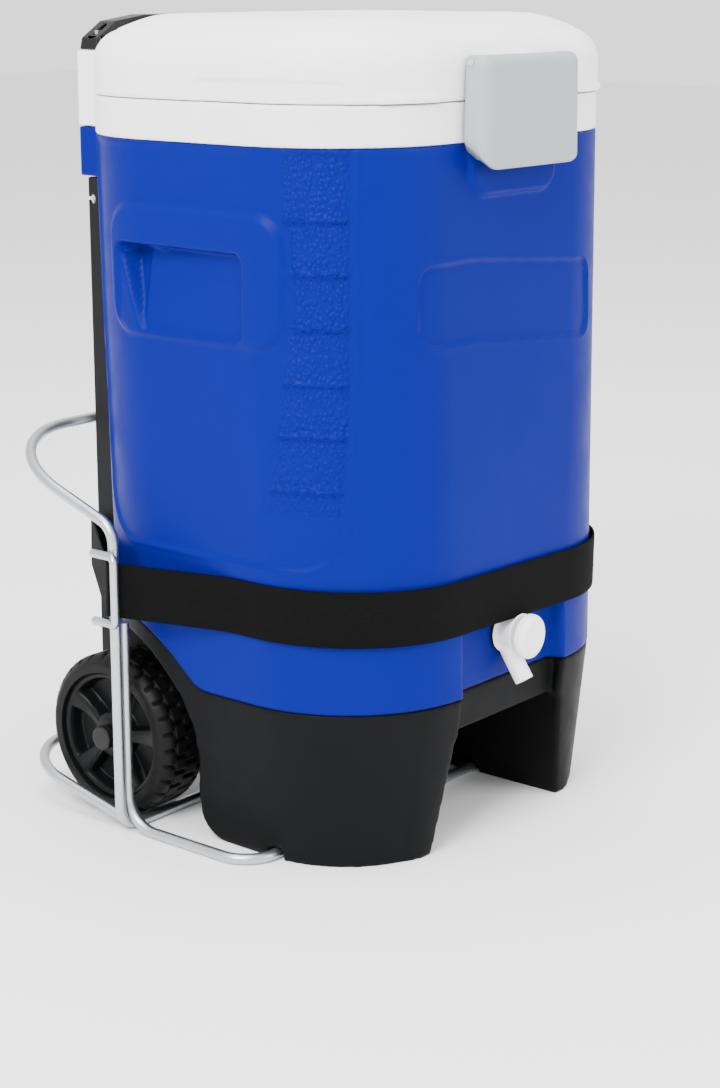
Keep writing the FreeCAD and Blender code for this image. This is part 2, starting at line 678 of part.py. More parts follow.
def handle_housing():
    y0 = D.back_reach + 0.4
    panel = box("housing_panel", -D.column_out, D.column_out, y0, D.back_reach + 5,
                D.housing_low, D.housing_top)
    column = box("column_block", D.column_in, D.column_out, y0, D.column_back,
                 D.housing_low, D.housing_top)
    channel = rod("column_channel", "z", D.housing_low + 15, D.housing_top + 5, D.channel,
                  (D.tube_x, D.tube_y))
    stop_hole = rod("column_stop_hole", "x", D.tube_x, D.column_out + 5, D.pin_radius + 0.2,
                    (D.tube_y, D.pin_z + D.handle_travel))
    columns = both_sides("column", cut("column", column, channel, stop_hole))
    clearance = both_sides("panel_clear", rod("panel_clear_right", "z", D.housing_low + 15,
                                              D.housing_top + 5, D.channel,
                                              (D.tube_x, D.tube_y)))
    solid = fuse("housing_solid", panel, *columns)
    return node(cut("handle_housing", solid, *clearance), "handle_housing")


def handle_tubes():
    across = (D.tube_x, D.tube_y)
    tube = cut("handle_tube_right",
               rod("tube_skin", "z", D.tube_low, D.tube_top, D.tube_radius, across),
               rod("tube_room", "z", D.tube_low - 1, D.tube_top + 1, D.tube_bore, across))
    other = mirrored("handle_tube_left", tube)
    node(tube, "handle_tube_right")
    node(other, "handle_tube_left")
    plug = rod("plug_body", "z", D.tube_low + 2, D.tube_low + 24, D.tube_bore - D.snug, across)
    bore = rod("plug_bore", "x", D.tube_x - 10, D.tube_x + 10, D.pin_radius + D.snug,
               (D.tube_y, D.pin_z))
    node(fuse("tube_plugs", *both_sides("plug", cut("plug", plug, bore))), "tube_plugs")
    pin = rod("pin_body", "x", D.tube_x - 6, D.tube_x + D.tube_bore - 0.8, D.pin_radius,
              (D.tube_y, D.pin_z))
    node(fuse("lock_pins", *both_sides("pin_pair", pin)), "lock_pins")


def handle_grip():
    """An arched bar over two sloping legs, hollow for the release yoke."""
    foot, inner, low, top = D.column_out - 1, D.column_in + 2, D.guide_top + 0.4, D.bar_top
    right = [
        (40, D.bar_low), (inner - 6, D.bar_low - 2.5), (inner, low), (foot, low),
        (foot - 2, low + 8), (foot - 20, top - 4), (40, top),
    ]
    outline = right + [(-x, z) for x, z in reversed(right)]
    bar = extruded("grip_bar", "XZ_Plane", outline, -D.bar_y1, D.bar_y1 - D.bar_y0)
    sockets = both_sides("grip_socket", rod("grip_socket_right", "z", low - 1, D.yoke_low,
                                            D.tube_radius + D.snug, (D.tube_x, D.tube_y)))
    yoke_room = box("yoke_room", -84, 84, D.tube_y - 2, D.tube_y + 2, D.yoke_low - 0.4,
                    D.yoke_low + 7.6)
    button_room = box("button_room", -22.4, 22.4, D.tube_y - 5, D.tube_y + 5,
                      D.bar_low - 3, D.yoke_low + 4)
    return node(cut("handle_grip", bar, *sockets, yoke_room, button_room), "handle_grip")


def handle_release():
    """The squeeze button under the grip, and the yoke and rods that it lifts."""
    y = D.tube_y
    across, seat = (D.tube_x, y), D.spring_seat
    button = box("release_button", -22, 22, y - 4.6, y + 4.6, D.bar_low - 4, D.yoke_low)
    node(button, "release_button")
    arm = box("yoke_arm", -82, 82, y - 1.5, y + 1.5, D.yoke_low, D.yoke_low + 3.6)
    rods = both_sides("yoke_rod", rod("yoke_rod_right", "z", D.tube_low + 27, D.yoke_low + 2, 1.5,
                                      across))
    flanges = both_sides("yoke_flange", rod("yoke_flange_right", "z", D.tube_low + 27,
                                            D.tube_low + 30, 5.5, across))
    node(fuse("release_yoke", arm, *rods, *flanges), "release_yoke")
    collar = cut("seat_collar", rod("seat_skin_tube", "z", seat, seat + 3, D.tube_bore - D.snug, across),
                 rod("seat_room_tube", "z", seat - 1, seat + 4, 2, across))
    node(fuse("spring_seats", *both_sides("seat_pair", collar)), "spring_seats")
    springs = []
    for side, x in (("right", D.tube_x), ("left", -D.tube_x)):
        spring = coil(f"release_spring_{side}", 4.2, 0.5, 4, D.tube_low + 30.3, seat - 0.3)
        bind(spring, "Placement.Base.x", x)
        bind(spring, "Placement.Base.y", y)
        springs.append(spring)
    node(fuse("release_springs", *springs), "release_springs")


# ================================================================ spigot

def spigot():
    face, z = D.recess_face, D.spigot_z
    inner_end = D.sump_front - 18
    shank, bore, neck, seat = D.shank, D.spigot_bore, D.spigot_neck, D.spring_shoulder
    barrel = turned("spigot_barrel", "y", [
        (-D.bell_front, bore), (-D.bell_front, D.bell_radius),
        (-D.bell_front + 0.8, D.bell_radius), (-D.bell_front + 3.8, shank + 0.5), (-face - 2.6, shank + 0.5), (-face - 2.6, shank + 4),
        (-face - 1.4, shank + 4), (-face - 1.4, shank), (-inner_end, shank), (-inner_end, neck),
        (-seat, neck), (-seat, bore),
    ], (0, 0, z))
    spout_tilt = FreeCAD.Rotation(X_AXIS, 145.7)
    spout = doc.addObject("Part::Cylinder", "spout_skin")
    spout_room = doc.addObject("Part::Cylinder", "spout_room")
    for tube, radius, extra in ((spout, 6.5, 0), (spout_room, 4.6, 1)):
        bind(tube, "Radius", radius)
        bind(tube, "Height", 26.5 + extra)
        tube.Placement = FreeCAD.Placement(V(0, -150, 131), spout_tilt)
    valve_room = rod("valve_room", "y", -D.bell_front - 1, -seat - 1, bore, (0, z))
    body_solid = fuse("spigot_solid", barrel, spout)
    spout_trim = box("spout_trim", -8, 8, -face - 1.4, -face + 5, 118, z - shank - 0.1)
    node(cut("spigot_body", body_solid, valve_room, spout_room, spout_trim), "spigot_body")

    front, back = -D.button_front, -D.button_back
    stem_radius = bore - 0.4
    button = turned("spigot_button", "y", [
        (front, 0), (front, D.button_radius - 4), (front + 2, D.button_radius - 0.6),
        (front + 3.5, D.button_radius), (back, D.button_radius), (back, stem_radius),
        (back + 9, stem_radius), (back + 9, 0),
    ], (0, 0, z))
    node(button, "spigot_button")
    stem_end = -inner_end + 1
    node(rod("spigot_stem", "y", back + 9, stem_end, 2.5, (0, z)), "spigot_stem")
    seal = turned("spigot_seal", "y", [
        (-inner_end + 0.3, 2.54), (-inner_end + 0.3, 9), (stem_end + 2, 9), (stem_end + 2, 0),
        (stem_end + 0.04, 0), (stem_end + 0.04, 2.54),
    ], (0, 0, z))
    node(seal, "spigot_seal")
    washer_skin = rod("washer_skin", "y", -face - 1.3, -face - 0.1, shank + 4.5, (0, z))
    washer_room = rod("washer_room", "y", -face - 2, -face + 1, shank + D.snug, (0, z))
    node(cut("spigot_gasket", washer_skin, washer_room), "spigot_gasket")
    inside = -D.sump_front + (D.tank_in - D.tank_out)
    nut_skin = rod("nut_skin", "y", inside + 2, inside + 7.5, shank + 6, (0, z))
    nut_room = rod("nut_room", "y", inside - 5, inside + 10, shank + D.snug, (0, z))
    node(cut("spigot_nut", nut_skin, nut_room), "spigot_nut")
    seat_skin = rod("seat_skin", "y", inside + 0.1, inside + 1.9, shank + 4.5, (0, z))
    seat_room = rod("seat_room", "y", inside - 5, inside + 10, shank + D.snug, (0, z))
    node(cut("spigot_inner_washer", seat_skin, seat_room), "spigot_inner_washer")
    start = back + 9.3
    spring = coil("spigot_spring", 5.2, 0.5, 4, 0, -seat - start - 0.3)
    spring.Placement = FreeCAD.Placement(V(), FreeCAD.Rotation(X_AXIS, -90))
    bind(spring, "Placement.Base.y", start)
    bind(spring, "Placement.Base.z", z)
    node(spring, "spigot_spring")


# ================================================================ wire rack and strap

def rack():
    x, y, r, top = D.rack_x, D.rack_y, D.rod, D.upright_top
    wire_part("rack_uprights", [(-x, y, top), (-x, y, r), (x, y, r), (x, y, top)], [16, 16], r)
    bend_z, back = top + 14, D.hoop_y
    rear_z = bend_z + (back - y) * D.hoop_rise
    corner = D.hoop_corner
    wire_part("rack_hoop", [
        (-x, y, top + 0.1), (-x, y, bend_z), (-x, back, rear_z), (x, back, rear_z),
        (x, y, bend_z), (x, y, top + 0.1),
    ], [16, corner, corner, 16], r)
    loop, front = D.loop_x, D.loop_front
    wire_part("rack_floor_loop", [
        (-loop, y, 150), (-loop, y, r), (-loop, -front, r), (loop, -front, r), (loop, y, r),
        (loop, y, 150),
    ], [24, 24, 24, 24], r)
    low, tail, end_y = 7.5, D.axle_y + 80, y + r + 0.05
    tail_z = low + (tail - end_y) * D.tail_rise
    wire_part("rack_tail_hoop", [
        (-loop, end_y, low), (-loop, tail, tail_z), (loop, tail, tail_z), (loop, end_y, low),
    ], [46, 46], r)


def strap_keeper(side):
    """A wire staple that holds the strap against the upright."""
    sign = -1 if side == "left" else 1
    out, inner = D.keeper_x * sign, (D.rack_x + D.rod + D.keeper_rod) * sign
    y, middle = D.rack_y, D.strap_z - sign * 4.7
    low, high = middle - 23.5, middle + 23.5
    front, bend, back = y - 9, y - 2, y + D.keeper_reach
    wire_part(f"strap_keeper_{side}", [
        (inner, back, high), (inner, bend, high), (out, front, high),
        (out, front, low), (inner, bend, low), (inner, back, low),
    ], [6, 4, 4, 6], D.keeper_rod)


def strap():
    """A flat webbing ring: round the drum's front, out over the uprights, round the housing."""
    half, gap = D.strap_thick / 2, 0.35
    skin = half + gap
    front = -(D.front_reach_low - 1.2) - skin
    corner = D.corner_low - 3
    side, back = D.half_width_low + 0.9 + skin, D.tube_y + D.tube_radius + skin
    wrap = D.rod + skin
    plan = [(-side, front), (-side, -40), (-D.rack_x - wrap * 1.1113, D.rack_y + wrap * 0.2291),
            (-D.column_out - 1.2, back)]
    plan = plan + [(-x, y) for x, y in reversed(plan)]
    points = [mm(x, y, 0) for x, y in plan]
    middle = [(points[0] + points[-1]) / 2]
    bends = [corner, 60, wrap, 3, 3, wrap, 60, corner]
    path = bent_path(middle + points + middle, [float(size_of(b)) for b in bends])
    outer = path.makeOffset2D(float(half))
    inner = path.makeOffset2D(-float(half))
    if Part.Face(outer).Area < Part.Face(inner).Area:
        outer, inner = inner, outer
    ring = Part.Face(outer).cut(Part.Face(inner))
    webbing = doc.addObject("Part::Feature", "strap")
    webbing.Shape = ring.extrude(V(0, 0, float(D.strap_width)))
    tilt = FreeCAD.Rotation(Y_AXIS, float(D.strap_tilt))
    base = V(0, 0, float(D.strap_z)) - tilt.multVec(V(0, 0, float(D.strap_width) / 2))
    webbing.Placement = FreeCAD.Placement(base, tilt)
    node(webbing, "strap")
    y0 = back + half + 0.2
    frame = box("buckle_frame", -24, 24, y0, y0 + 7, D.strap_z - 22, D.strap_z + 22)
    slots = [box(f"buckle_slot{i}", x, x + 6, y0 - 1, y0 + 9, D.strap_z - 17.5, D.strap_z + 17.5)
             for i, x in enumerate((-19, -3, 13))]
    node(cut("strap_buckle", frame, *slots), "strap_buckle")


def build():
    body_shell()
    insulation_foam()
    inner_liner()
    rim_collar()
    lid_shell()
    lid_liner()
    lid_foam()
    lid_gasket()
    lid_latch()
    pins()
    base_skirt()
    fasteners()
    wheel("left")
    wheel("right")
    axle_parts()
    handle_housing()
    handle_tubes()
    handle_grip()
    handle_release()
    spigot()
    rack()
    strap_keeper("left")
    strap_keeper("right")
    strap()


def write_parts():
    doc.recompute()
    broken = [o.Label for o in doc.Objects if {"Invalid", "Error"} & set(o.State)]
    broken += [o.Label for o in SUB_PARTS if o.Shape.isNull() or not o.Shape.isValid()]
    if broken:
        raise RuntimeError(f"failed objects: {broken}")
    os.makedirs("parts", exist_ok=True)
    for part in SUB_PARTS:
        part.Shape.exportStep(os.path.join("parts", part.Label + ".step"))
        box_ = part.Shape.BoundBox
        print(f"{part.Label:20s} solids {len(part.Shape.Solids)} volume {part.Shape.Volume:12.0f} "
              f"x {box_.XMin:7.1f} {box_.XMax:7.1f} y {box_.YMin:7.1f} {box_.YMax:7.1f} "
              f"z {box_.ZMin:7.1f} {box_.ZMax:7.1f}")


build()
write_parts()
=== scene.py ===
import json
import math

import bmesh
import bpy
import numpy as np
from mathutils import Matrix, Vector


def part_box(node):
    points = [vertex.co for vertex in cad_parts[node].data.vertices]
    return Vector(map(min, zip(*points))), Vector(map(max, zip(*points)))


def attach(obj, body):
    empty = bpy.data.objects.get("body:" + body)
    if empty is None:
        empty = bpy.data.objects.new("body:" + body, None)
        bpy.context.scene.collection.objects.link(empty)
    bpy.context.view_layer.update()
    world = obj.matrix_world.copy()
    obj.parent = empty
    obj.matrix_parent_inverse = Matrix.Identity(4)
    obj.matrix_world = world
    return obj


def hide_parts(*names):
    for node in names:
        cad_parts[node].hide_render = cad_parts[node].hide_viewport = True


# The looks of the wheeled cooler: its mouldings are skins that follow the CAD drum's outline, with
# the grips, ribs, panels and steps worked into them. Lengths are in millimetres until a mesh is
# made; +Z is up, -Y is the front, and each piece rides on the body named beside it.

MM = 0.001
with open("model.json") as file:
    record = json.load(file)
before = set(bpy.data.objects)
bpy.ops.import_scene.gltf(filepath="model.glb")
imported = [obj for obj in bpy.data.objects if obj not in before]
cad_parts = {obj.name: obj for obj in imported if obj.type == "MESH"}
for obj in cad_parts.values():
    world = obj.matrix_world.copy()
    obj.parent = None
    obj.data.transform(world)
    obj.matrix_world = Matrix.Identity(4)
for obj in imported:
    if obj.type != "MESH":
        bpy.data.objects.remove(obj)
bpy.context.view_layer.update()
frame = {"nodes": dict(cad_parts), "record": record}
NODES = frame["nodes"]
SLOT_OF = {part["node"]: part["material_slot"] for part in frame["record"]["subparts"]}
BODY_OF = {node: body for body, nodes in frame["record"]["behaviour"]["bodies"].items()
           for node in nodes}


def span(node):
    """A CAD node's lowest and highest corners, in millimetres."""
    low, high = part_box(node)
    return np.array(low) / MM, np.array(high) / MM


# ---------------------------------------------------------------- the drum's outline

SHELL_LOW, SHELL_HIGH = span("body_shell")
SKIRT_TOP, SHELL_TOP = SHELL_LOW[2], SHELL_HIGH[2]
LID_LOW, LID_HIGH = span("lid_shell")
WHEEL_LOW, WHEEL_HIGH = span("tyre_left")
AXLE_Y, AXLE_Z = (WHEEL_LOW[1] + WHEEL_HIGH[1]) / 2, (WHEEL_LOW[2] + WHEEL_HIGH[2]) / 2
HALF_TOP, HALF_LOW = SHELL_HIGH[0], SHELL_HIGH[0] - 3
FRONT_LOW, FRONT_TOP, BACK = -SHELL_LOW[1], 146, 124
CORNER_LOW, CORNER_TOP = 98, 88
ARCH_RADIUS, ARCH_EASE = 95.0, 8.0


def outline_sizes(z):
    """Half width, front reach, back reach and corner radius of the drum at height z."""
    share = min(max((z - SKIRT_TOP) / (SHELL_TOP - SKIRT_TOP), 0), 1)
    half = HALF_LOW + (HALF_TOP - HALF_LOW) * share
    front = FRONT_LOW + (FRONT_TOP - FRONT_LOW) * share
    return half, front, BACK, CORNER_LOW + (CORNER_TOP - CORNER_LOW) * share


def outline_columns(step):
    """Where the columns of a drum skin stand: (which of 8 stretches, how far along it)."""
    half, front, back, corner = outline_sizes(SHELL_TOP)
    across, deep = 2 * (half - corner), front + back - 2 * corner
    lengths = [across, corner * math.pi / 2, deep, corner * math.pi / 2] * 2
    columns = []
    for stretch, length in enumerate(lengths):
        count = max(int(round(length / step)), 3)
        columns += [(stretch, i / count) for i in range(count)]
    return columns


def outline_ring(columns, z, inset=0.0):
    """Points and outward normals of the drum's outline at height z, moved inwards by inset."""
    half, front, back, corner = outline_sizes(z)
    half, front, back, corner = half - inset, front - inset, back - inset, corner - inset
    x, near, far = half - corner, -front + corner, back - corner
    centres = [(x, near), (x, far), (-x, far), (-x, near)]
    points, normals = [], []
    for stretch, along in columns:
        side = stretch // 2
        centre = Vector(centres[side])
        if stretch % 2:
            turn = (side - 1 + along) * math.pi / 2
            normal = Vector((math.cos(turn), math.sin(turn)))
        else:
            turn = (side - 1) * math.pi / 2
            normal = Vector((math.cos(turn), math.sin(turn)))
            before = Vector(centres[side - 1])
            centre = before + (centre - before) * along
        points.append(centre + normal * corner)
        normals.append(normal)
    return np.array(points), np.array(normals)


def side_distance(x, y, z):
    """Distance along the outline from the middle of the side, rising towards the front."""
    half, front, _, corner = outline_sizes(z)
    turn = np.arctan2(-(y + front - corner), np.abs(x) - (half - corner))
    on_corner = (front - corner) + np.clip(turn, 0, math.pi / 2) * corner
    on_front = (front - corner) + math.pi / 2 * corner + (half - corner - np.abs(x))
    along = np.where(y > -(front - corner), -y, on_corner)
    return np.where(np.abs(x) < half - corner, np.where(y < 0, on_front, -y), along)


def blend_in(edge, width):
    """1 where edge is well below 0, 0 where it is well above, smooth over width."""
    t = np.clip(0.5 - edge / width, 0, 1)
    return t * t * (3 - 2 * t)


def rounded_box_edge(u, v, u0, u1, v0, v1, radius):
    """Signed distance to a rounded rectangle: below 0 inside it."""
    du = np.abs(u - (u0 + u1) / 2) - ((u1 - u0) / 2 - radius)
    dv = np.abs(v - (v0 + v1) / 2) - ((v1 - v0) / 2 - radius)
    outside = np.hypot(np.maximum(du, 0), np.maximum(dv, 0))
    return outside + np.minimum(np.maximum(du, dv), 0) - radius


# ---------------------------------------------------------------- meshes

def new_piece(name, verts, faces, body, slot, replaces=(), look=None):
    mesh = bpy.data.meshes.new(name)
    mesh.from_pydata([tuple(v) for v in np.asarray(verts) * MM], [], faces)
    mesh.validate()
    return finished(name, mesh, body, slot, replaces, look)


def finished(name, mesh, body, slot, replaces=(), look=None):
    obj = bpy.data.objects.new(name, mesh)
    bpy.context.scene.collection.objects.link(obj)
    work = bmesh.new()
    work.from_mesh(mesh)
    bmesh.ops.recalc_face_normals(work, faces=work.faces)
    work.to_mesh(mesh)
    work.free()
    mesh.materials.clear()
    mesh.materials.append(material_for(look or slot))
    mesh.shade_smooth()
    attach(obj, body)
    if replaces:
        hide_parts(*replaces)
    return obj


def grid_faces(rows, columns, wrap_columns=True, wrap_rows=False):
    """Quads over a grid of points stored row by row."""
    faces = []
    for r in range(rows if wrap_rows else rows - 1):
        below, above = r * columns, ((r + 1) % rows) * columns
        for c in range(columns if wrap_columns else columns - 1):
            d = (c + 1) % columns
            faces.append((below + c, below + d, above + d, above + c))
    return faces


def soften(obj, voxel, passes):
    """Rounds a copied CAD solid's edges as a mould does: a fine even mesh, then smoothed."""
    remesh = obj.modifiers.new("even", "REMESH")
    remesh.mode = "VOXEL"
    remesh.voxel_size = voxel * MM
    smooth = obj.modifiers.new("round", "SMOOTH")
    smooth.factor = 0.5
    smooth.iterations = passes
    graph = bpy.context.evaluated_depsgraph_get()
    mesh = bpy.data.meshes.new_from_object(obj.evaluated_get(graph))
    obj.modifiers.clear()
    obj.data = mesh
    mesh.shade_smooth()


def cad_solid(node, keep=()):
    """A welded copy of a CAD node's mesh, cut to the side of each plane that its normal faces."""
    work = bmesh.new()
    work.from_mesh(NODES[node].data)
    bmesh.ops.remove_doubles(work, verts=work.verts, dist=2e-6)
    for point, normal in keep:
        everything = work.verts[:] + work.edges[:] + work.faces[:]
        cut = bmesh.ops.bisect_plane(work, geom=everything, plane_co=Vector(point) * MM,
                                     plane_no=Vector(normal), clear_inner=True)
        rim = [e for e in cut["geom_cut"] if isinstance(e, bmesh.types.BMEdge)]
        bmesh.ops.holes_fill(work, edges=rim, sides=0)
    bmesh.ops.triangulate(work, faces=[f for f in work.faces if len(f.verts) > 4])
    mesh = bpy.data.meshes.new(node + "_copy")
    work.to_mesh(mesh)
    work.free()
    return mesh


def moulded(name, node, voxel, passes, replaces=True, keep=(), reshape=None):
    """A CAD node's own shape with moulded edges, standing for that node."""
    obj = finished(name, cad_solid(node, keep), BODY_OF[node], SLOT_OF[node],
                   (node,) if replaces else ())
    soften(obj, voxel, passes)
    if reshape:
        co = np.zeros(len(obj.data.vertices) * 3)
        obj.data.vertices.foreach_get("co", co)
        co = reshape(co.reshape(-1, 3) / MM) * MM
        obj.data.vertices.foreach_set("co", co.ravel())
        obj.data.update()
    return obj


def revolve(name, profile, centre, axis, body, slot, replaces=(), count=96, look=None):
    """A closed turned piece: profile holds (along the axis, radius) and ends where it starts."""
    axis = Vector(axis)
    side = axis.orthogonal().normalized()
    other = axis.cross(side)
    rows = []
    for along, radius in profile:
        turns = [2 * math.pi * i / count for i in range(count)]
        rows += [Vector(centre) + axis * along
                 + (side * math.cos(t) + other * math.sin(t)) * max(radius, 0.01) for t in turns]
    faces = grid_faces(len(profile), count, wrap_rows=True)
    return new_piece(name, rows, faces, body, slot, replaces, look)


def rounded_profile(corners, radius, steps=5):
    """A closed outline with each corner rounded; a corner may bring its own radius."""
    points = []
    count = len(corners)
    for i in range(count):
        here = Vector(corners[i][:2])
        bend = corners[i][2] if len(corners[i]) > 2 else radius
        back = (Vector(corners[i - 1][:2]) - here)
        ahead = (Vector(corners[(i + 1) % count][:2]) - here)
        reach = min(bend, back.length * 0.48, ahead.length * 0.48)
        start, end = here + back.normalized() * reach, here + ahead.normalized() * reach
        for k in range(steps + 1):
            t = k / steps
            points.append(start * (1 - t) ** 2 + here * 2 * t * (1 - t) + end * t * t)
    return [tuple(p) for p in points]


# ---------------------------------------------------------------- materials

def node_tree(name):
    material = bpy.data.materials.new(name)
    material.use_nodes = True
    tree = material.node_tree
    shader = next(n for n in tree.nodes if n.type == "BSDF_PRINCIPLED")
    return material, tree, shader


def add(tree, kind, **values):
    made = tree.nodes.new(kind)
    for key, value in values.items():
        if key in made.inputs:
            made.inputs[key].default_value = value
        else:
            setattr(made, key, value)
    return made


def noise(tree, scale, detail=3.0, coords="Object"):
    place = add(tree, "ShaderNodeTexCoord")
    texture = add(tree, "ShaderNodeTexNoise", Scale=scale, Detail=detail)
    tree.links.new(place.outputs[coords], texture.inputs["Vector"])
    return texture


def ranged(tree, source, low, high):
    scale = add(tree, "ShaderNodeMapRange")
    scale.inputs["From Min"].default_value = 0.3
    scale.inputs["From Max"].default_value = 0.7
    scale.inputs["To Min"].default_value = low
    scale.inputs["To Max"].default_value = high
    tree.links.new(source, scale.inputs["Value"])
    return scale.outputs["Result"]


def tinted(tree, shader, colour, spread, scale):
    """Base colour that wanders a little darker and lighter over the surface."""
    mix = add(tree, "ShaderNodeMix", data_type="RGBA")
    dark = [c * (1 - spread) for c in colour]
    light = [min(c * (1 + spread), 1) for c in colour]
    mix.inputs[6].default_value = (*dark, 1)
    mix.inputs[7].default_value = (*light, 1)
    tree.links.new(noise(tree, scale, 5).outputs["Fac"], mix.inputs[0])
    tree.links.new(mix.outputs[2], shader.inputs["Base Color"])
    return mix


def bump(tree, shader, height, strength, distance, after=None):
    made = add(tree, "ShaderNodeBump", Strength=strength, Distance=distance)
    tree.links.new(height, made.inputs["Height"])
    if after is not None:
        tree.links.new(after.outputs["Normal"], made.inputs["Normal"])
    tree.links.new(made.outputs["Normal"], shader.inputs["Normal"])
    return made


def plastic(name, colour, roughness, grain=900.0, strength=0.12, spread=0.04, shine=0.3):
    """Moulded plastic: a fine grain, an uneven gloss and a slight drift of colour."""
    material, tree, shader = node_tree(name)
    tinted(tree, shader, colour, spread, 14.0)
    gloss = ranged(tree, noise(tree, 60.0, 4).outputs["Fac"], roughness - 0.04, roughness + 0.06)
    tree.links.new(gloss, shader.inputs["Roughness"])
    bump(tree, shader, noise(tree, grain, 2).outputs["Fac"], strength, 0.0003)
    shader.inputs["Specular IOR Level"].default_value = shine
    return material


def shell_plastic(name, colour):
    """The drum's plastic, with raised pebbles where the mesh's pebble attribute says."""
    material, tree, shader = node_tree(name)
    tinted(tree, shader, colour, 0.05, 9.0)
    gloss = ranged(tree, noise(tree, 50.0, 4).outputs["Fac"], 0.37, 0.47)
    tree.links.new(gloss, shader.inputs["Roughness"])
    grain = bump(tree, shader, noise(tree, 1500.0, 2).outputs["Fac"], 0.1, 0.0002)
    place = add(tree, "ShaderNodeTexCoord")
    cells = add(tree, "ShaderNodeTexVoronoi", Scale=330.0, feature="F1")
    tree.links.new(place.outputs["Object"], cells.inputs["Vector"])
    dome = add(tree, "ShaderNodeMapRange")
    dome.inputs["From Min"].default_value = 0.1
    dome.inputs["From Max"].default_value = 0.75
    dome.inputs["To Min"].default_value = 1.0
    dome.inputs["To Max"].default_value = 0.0
    tree.links.new(cells.outputs["Distance"], dome.inputs["Value"])
    mask = add(tree, "ShaderNodeAttribute", attribute_name="pebble")
    masked = add(tree, "ShaderNodeMath", operation="MULTIPLY")
    tree.links.new(dome.outputs["Result"], masked.inputs[0])
    tree.links.new(mask.outputs["Fac"], masked.inputs[1])
    bump(tree, shader, masked.outputs[0], 1.0, 0.0009, after=grain)
    shader.inputs["Specular IOR Level"].default_value = 0.05
    return material


def metal(name, colour, roughness, streak=(260.0, 260.0, 30.0)):
    """Plated or drawn metal: fine lines along the wire, smudges and an uneven gloss."""
    material, tree, shader = node_tree(name)
    shader.inputs["Metallic"].default_value = 1.0
    tinted(tree, shader, colour, 0.07, 40.0)
    place = add(tree, "ShaderNodeTexCoord")
    stretch = add(tree, "ShaderNodeMapping", Scale=streak)
    lines = add(tree, "ShaderNodeTexNoise", Scale=8.0, Detail=4.0)
    tree.links.new(place.outputs["Object"], stretch.inputs["Vector"])
    tree.links.new(stretch.outputs["Vector"], lines.inputs["Vector"])
    gloss = ranged(tree, lines.outputs["Fac"], roughness - 0.08, roughness + 0.1)
    tree.links.new(gloss, shader.inputs["Roughness"])
    bump(tree, shader, lines.outputs["Fac"], 0.12, 0.0002)
    return material


def rubber(name, colour, roughness):
    material, tree, shader = node_tree(name)
    tinted(tree, shader, colour, 0.2, 70.0)
    gloss = ranged(tree, noise(tree, 110.0, 4).outputs["Fac"], roughness - 0.08, roughness + 0.08)
    tree.links.new(gloss, shader.inputs["Roughness"])
    bump(tree, shader, noise(tree, 700.0, 3).outputs["Fac"], 0.25, 0.0004)
    shader.inputs["Specular IOR Level"].default_value = 0.12
    return material


def foam(name, colour):
    material, tree, shader = node_tree(name)
    tinted(tree, shader, colour, 0.08, 30.0)
    shader.inputs["Roughness"].default_value = 0.9
    bump(tree, shader, noise(tree, 500.0, 4).outputs["Fac"], 0.4, 0.0008)
    return material


WEAVE_PITCH = 1.7


def webbing(name, colour):
    """Woven strap: yarns that cross on the slant, laid out by the strap's own UV in millimetres,
    with a painted highlight on the raised crossings.
    """
    material, tree, shader = node_tree(name)
    place = add(tree, "ShaderNodeTexCoord")
    waves = []
    for turn in (0.95, -0.6):
        lay = add(tree, "ShaderNodeMapping")
        lay.inputs["Rotation"].default_value = (0, 0, turn)
        tree.links.new(place.outputs["UV"], lay.inputs["Vector"])
        wave = add(tree, "ShaderNodeTexWave", Scale=math.pi / 10 / WEAVE_PITCH * 2)
        tree.links.new(lay.outputs["Vector"], wave.inputs["Vector"])
        waves.append(wave)
    crossed = add(tree, "ShaderNodeMath", operation="MULTIPLY")
    tree.links.new(waves[0].outputs["Fac"], crossed.inputs[0])
    tree.links.new(waves[1].outputs["Fac"], crossed.inputs[1])
    # painted highlight: the crossings get a colour nine times the black yarn's and the hollows a
    # third of it, standing for the sheen on the weave's raised points
    mix = add(tree, "ShaderNodeMix", data_type="RGBA")
    mix.inputs[6].default_value = (*[c * 0.3 for c in colour], 1)
    mix.inputs[7].default_value = (*[c * 9.0 for c in colour], 1)
    tree.links.new(crossed.outputs[0], mix.inputs[0])
    tree.links.new(mix.outputs[2], shader.inputs["Base Color"])
    fuzz = bump(tree, shader, noise(tree, 1400.0, 3).outputs["Fac"], 0.2, 0.0002)
    bump(tree, shader, crossed.outputs[0], 0.9, 0.0006, after=fuzz)
    shader.inputs["Roughness"].default_value = 0.8
    shader.inputs["Specular IOR Level"].default_value = 0.05
    return material


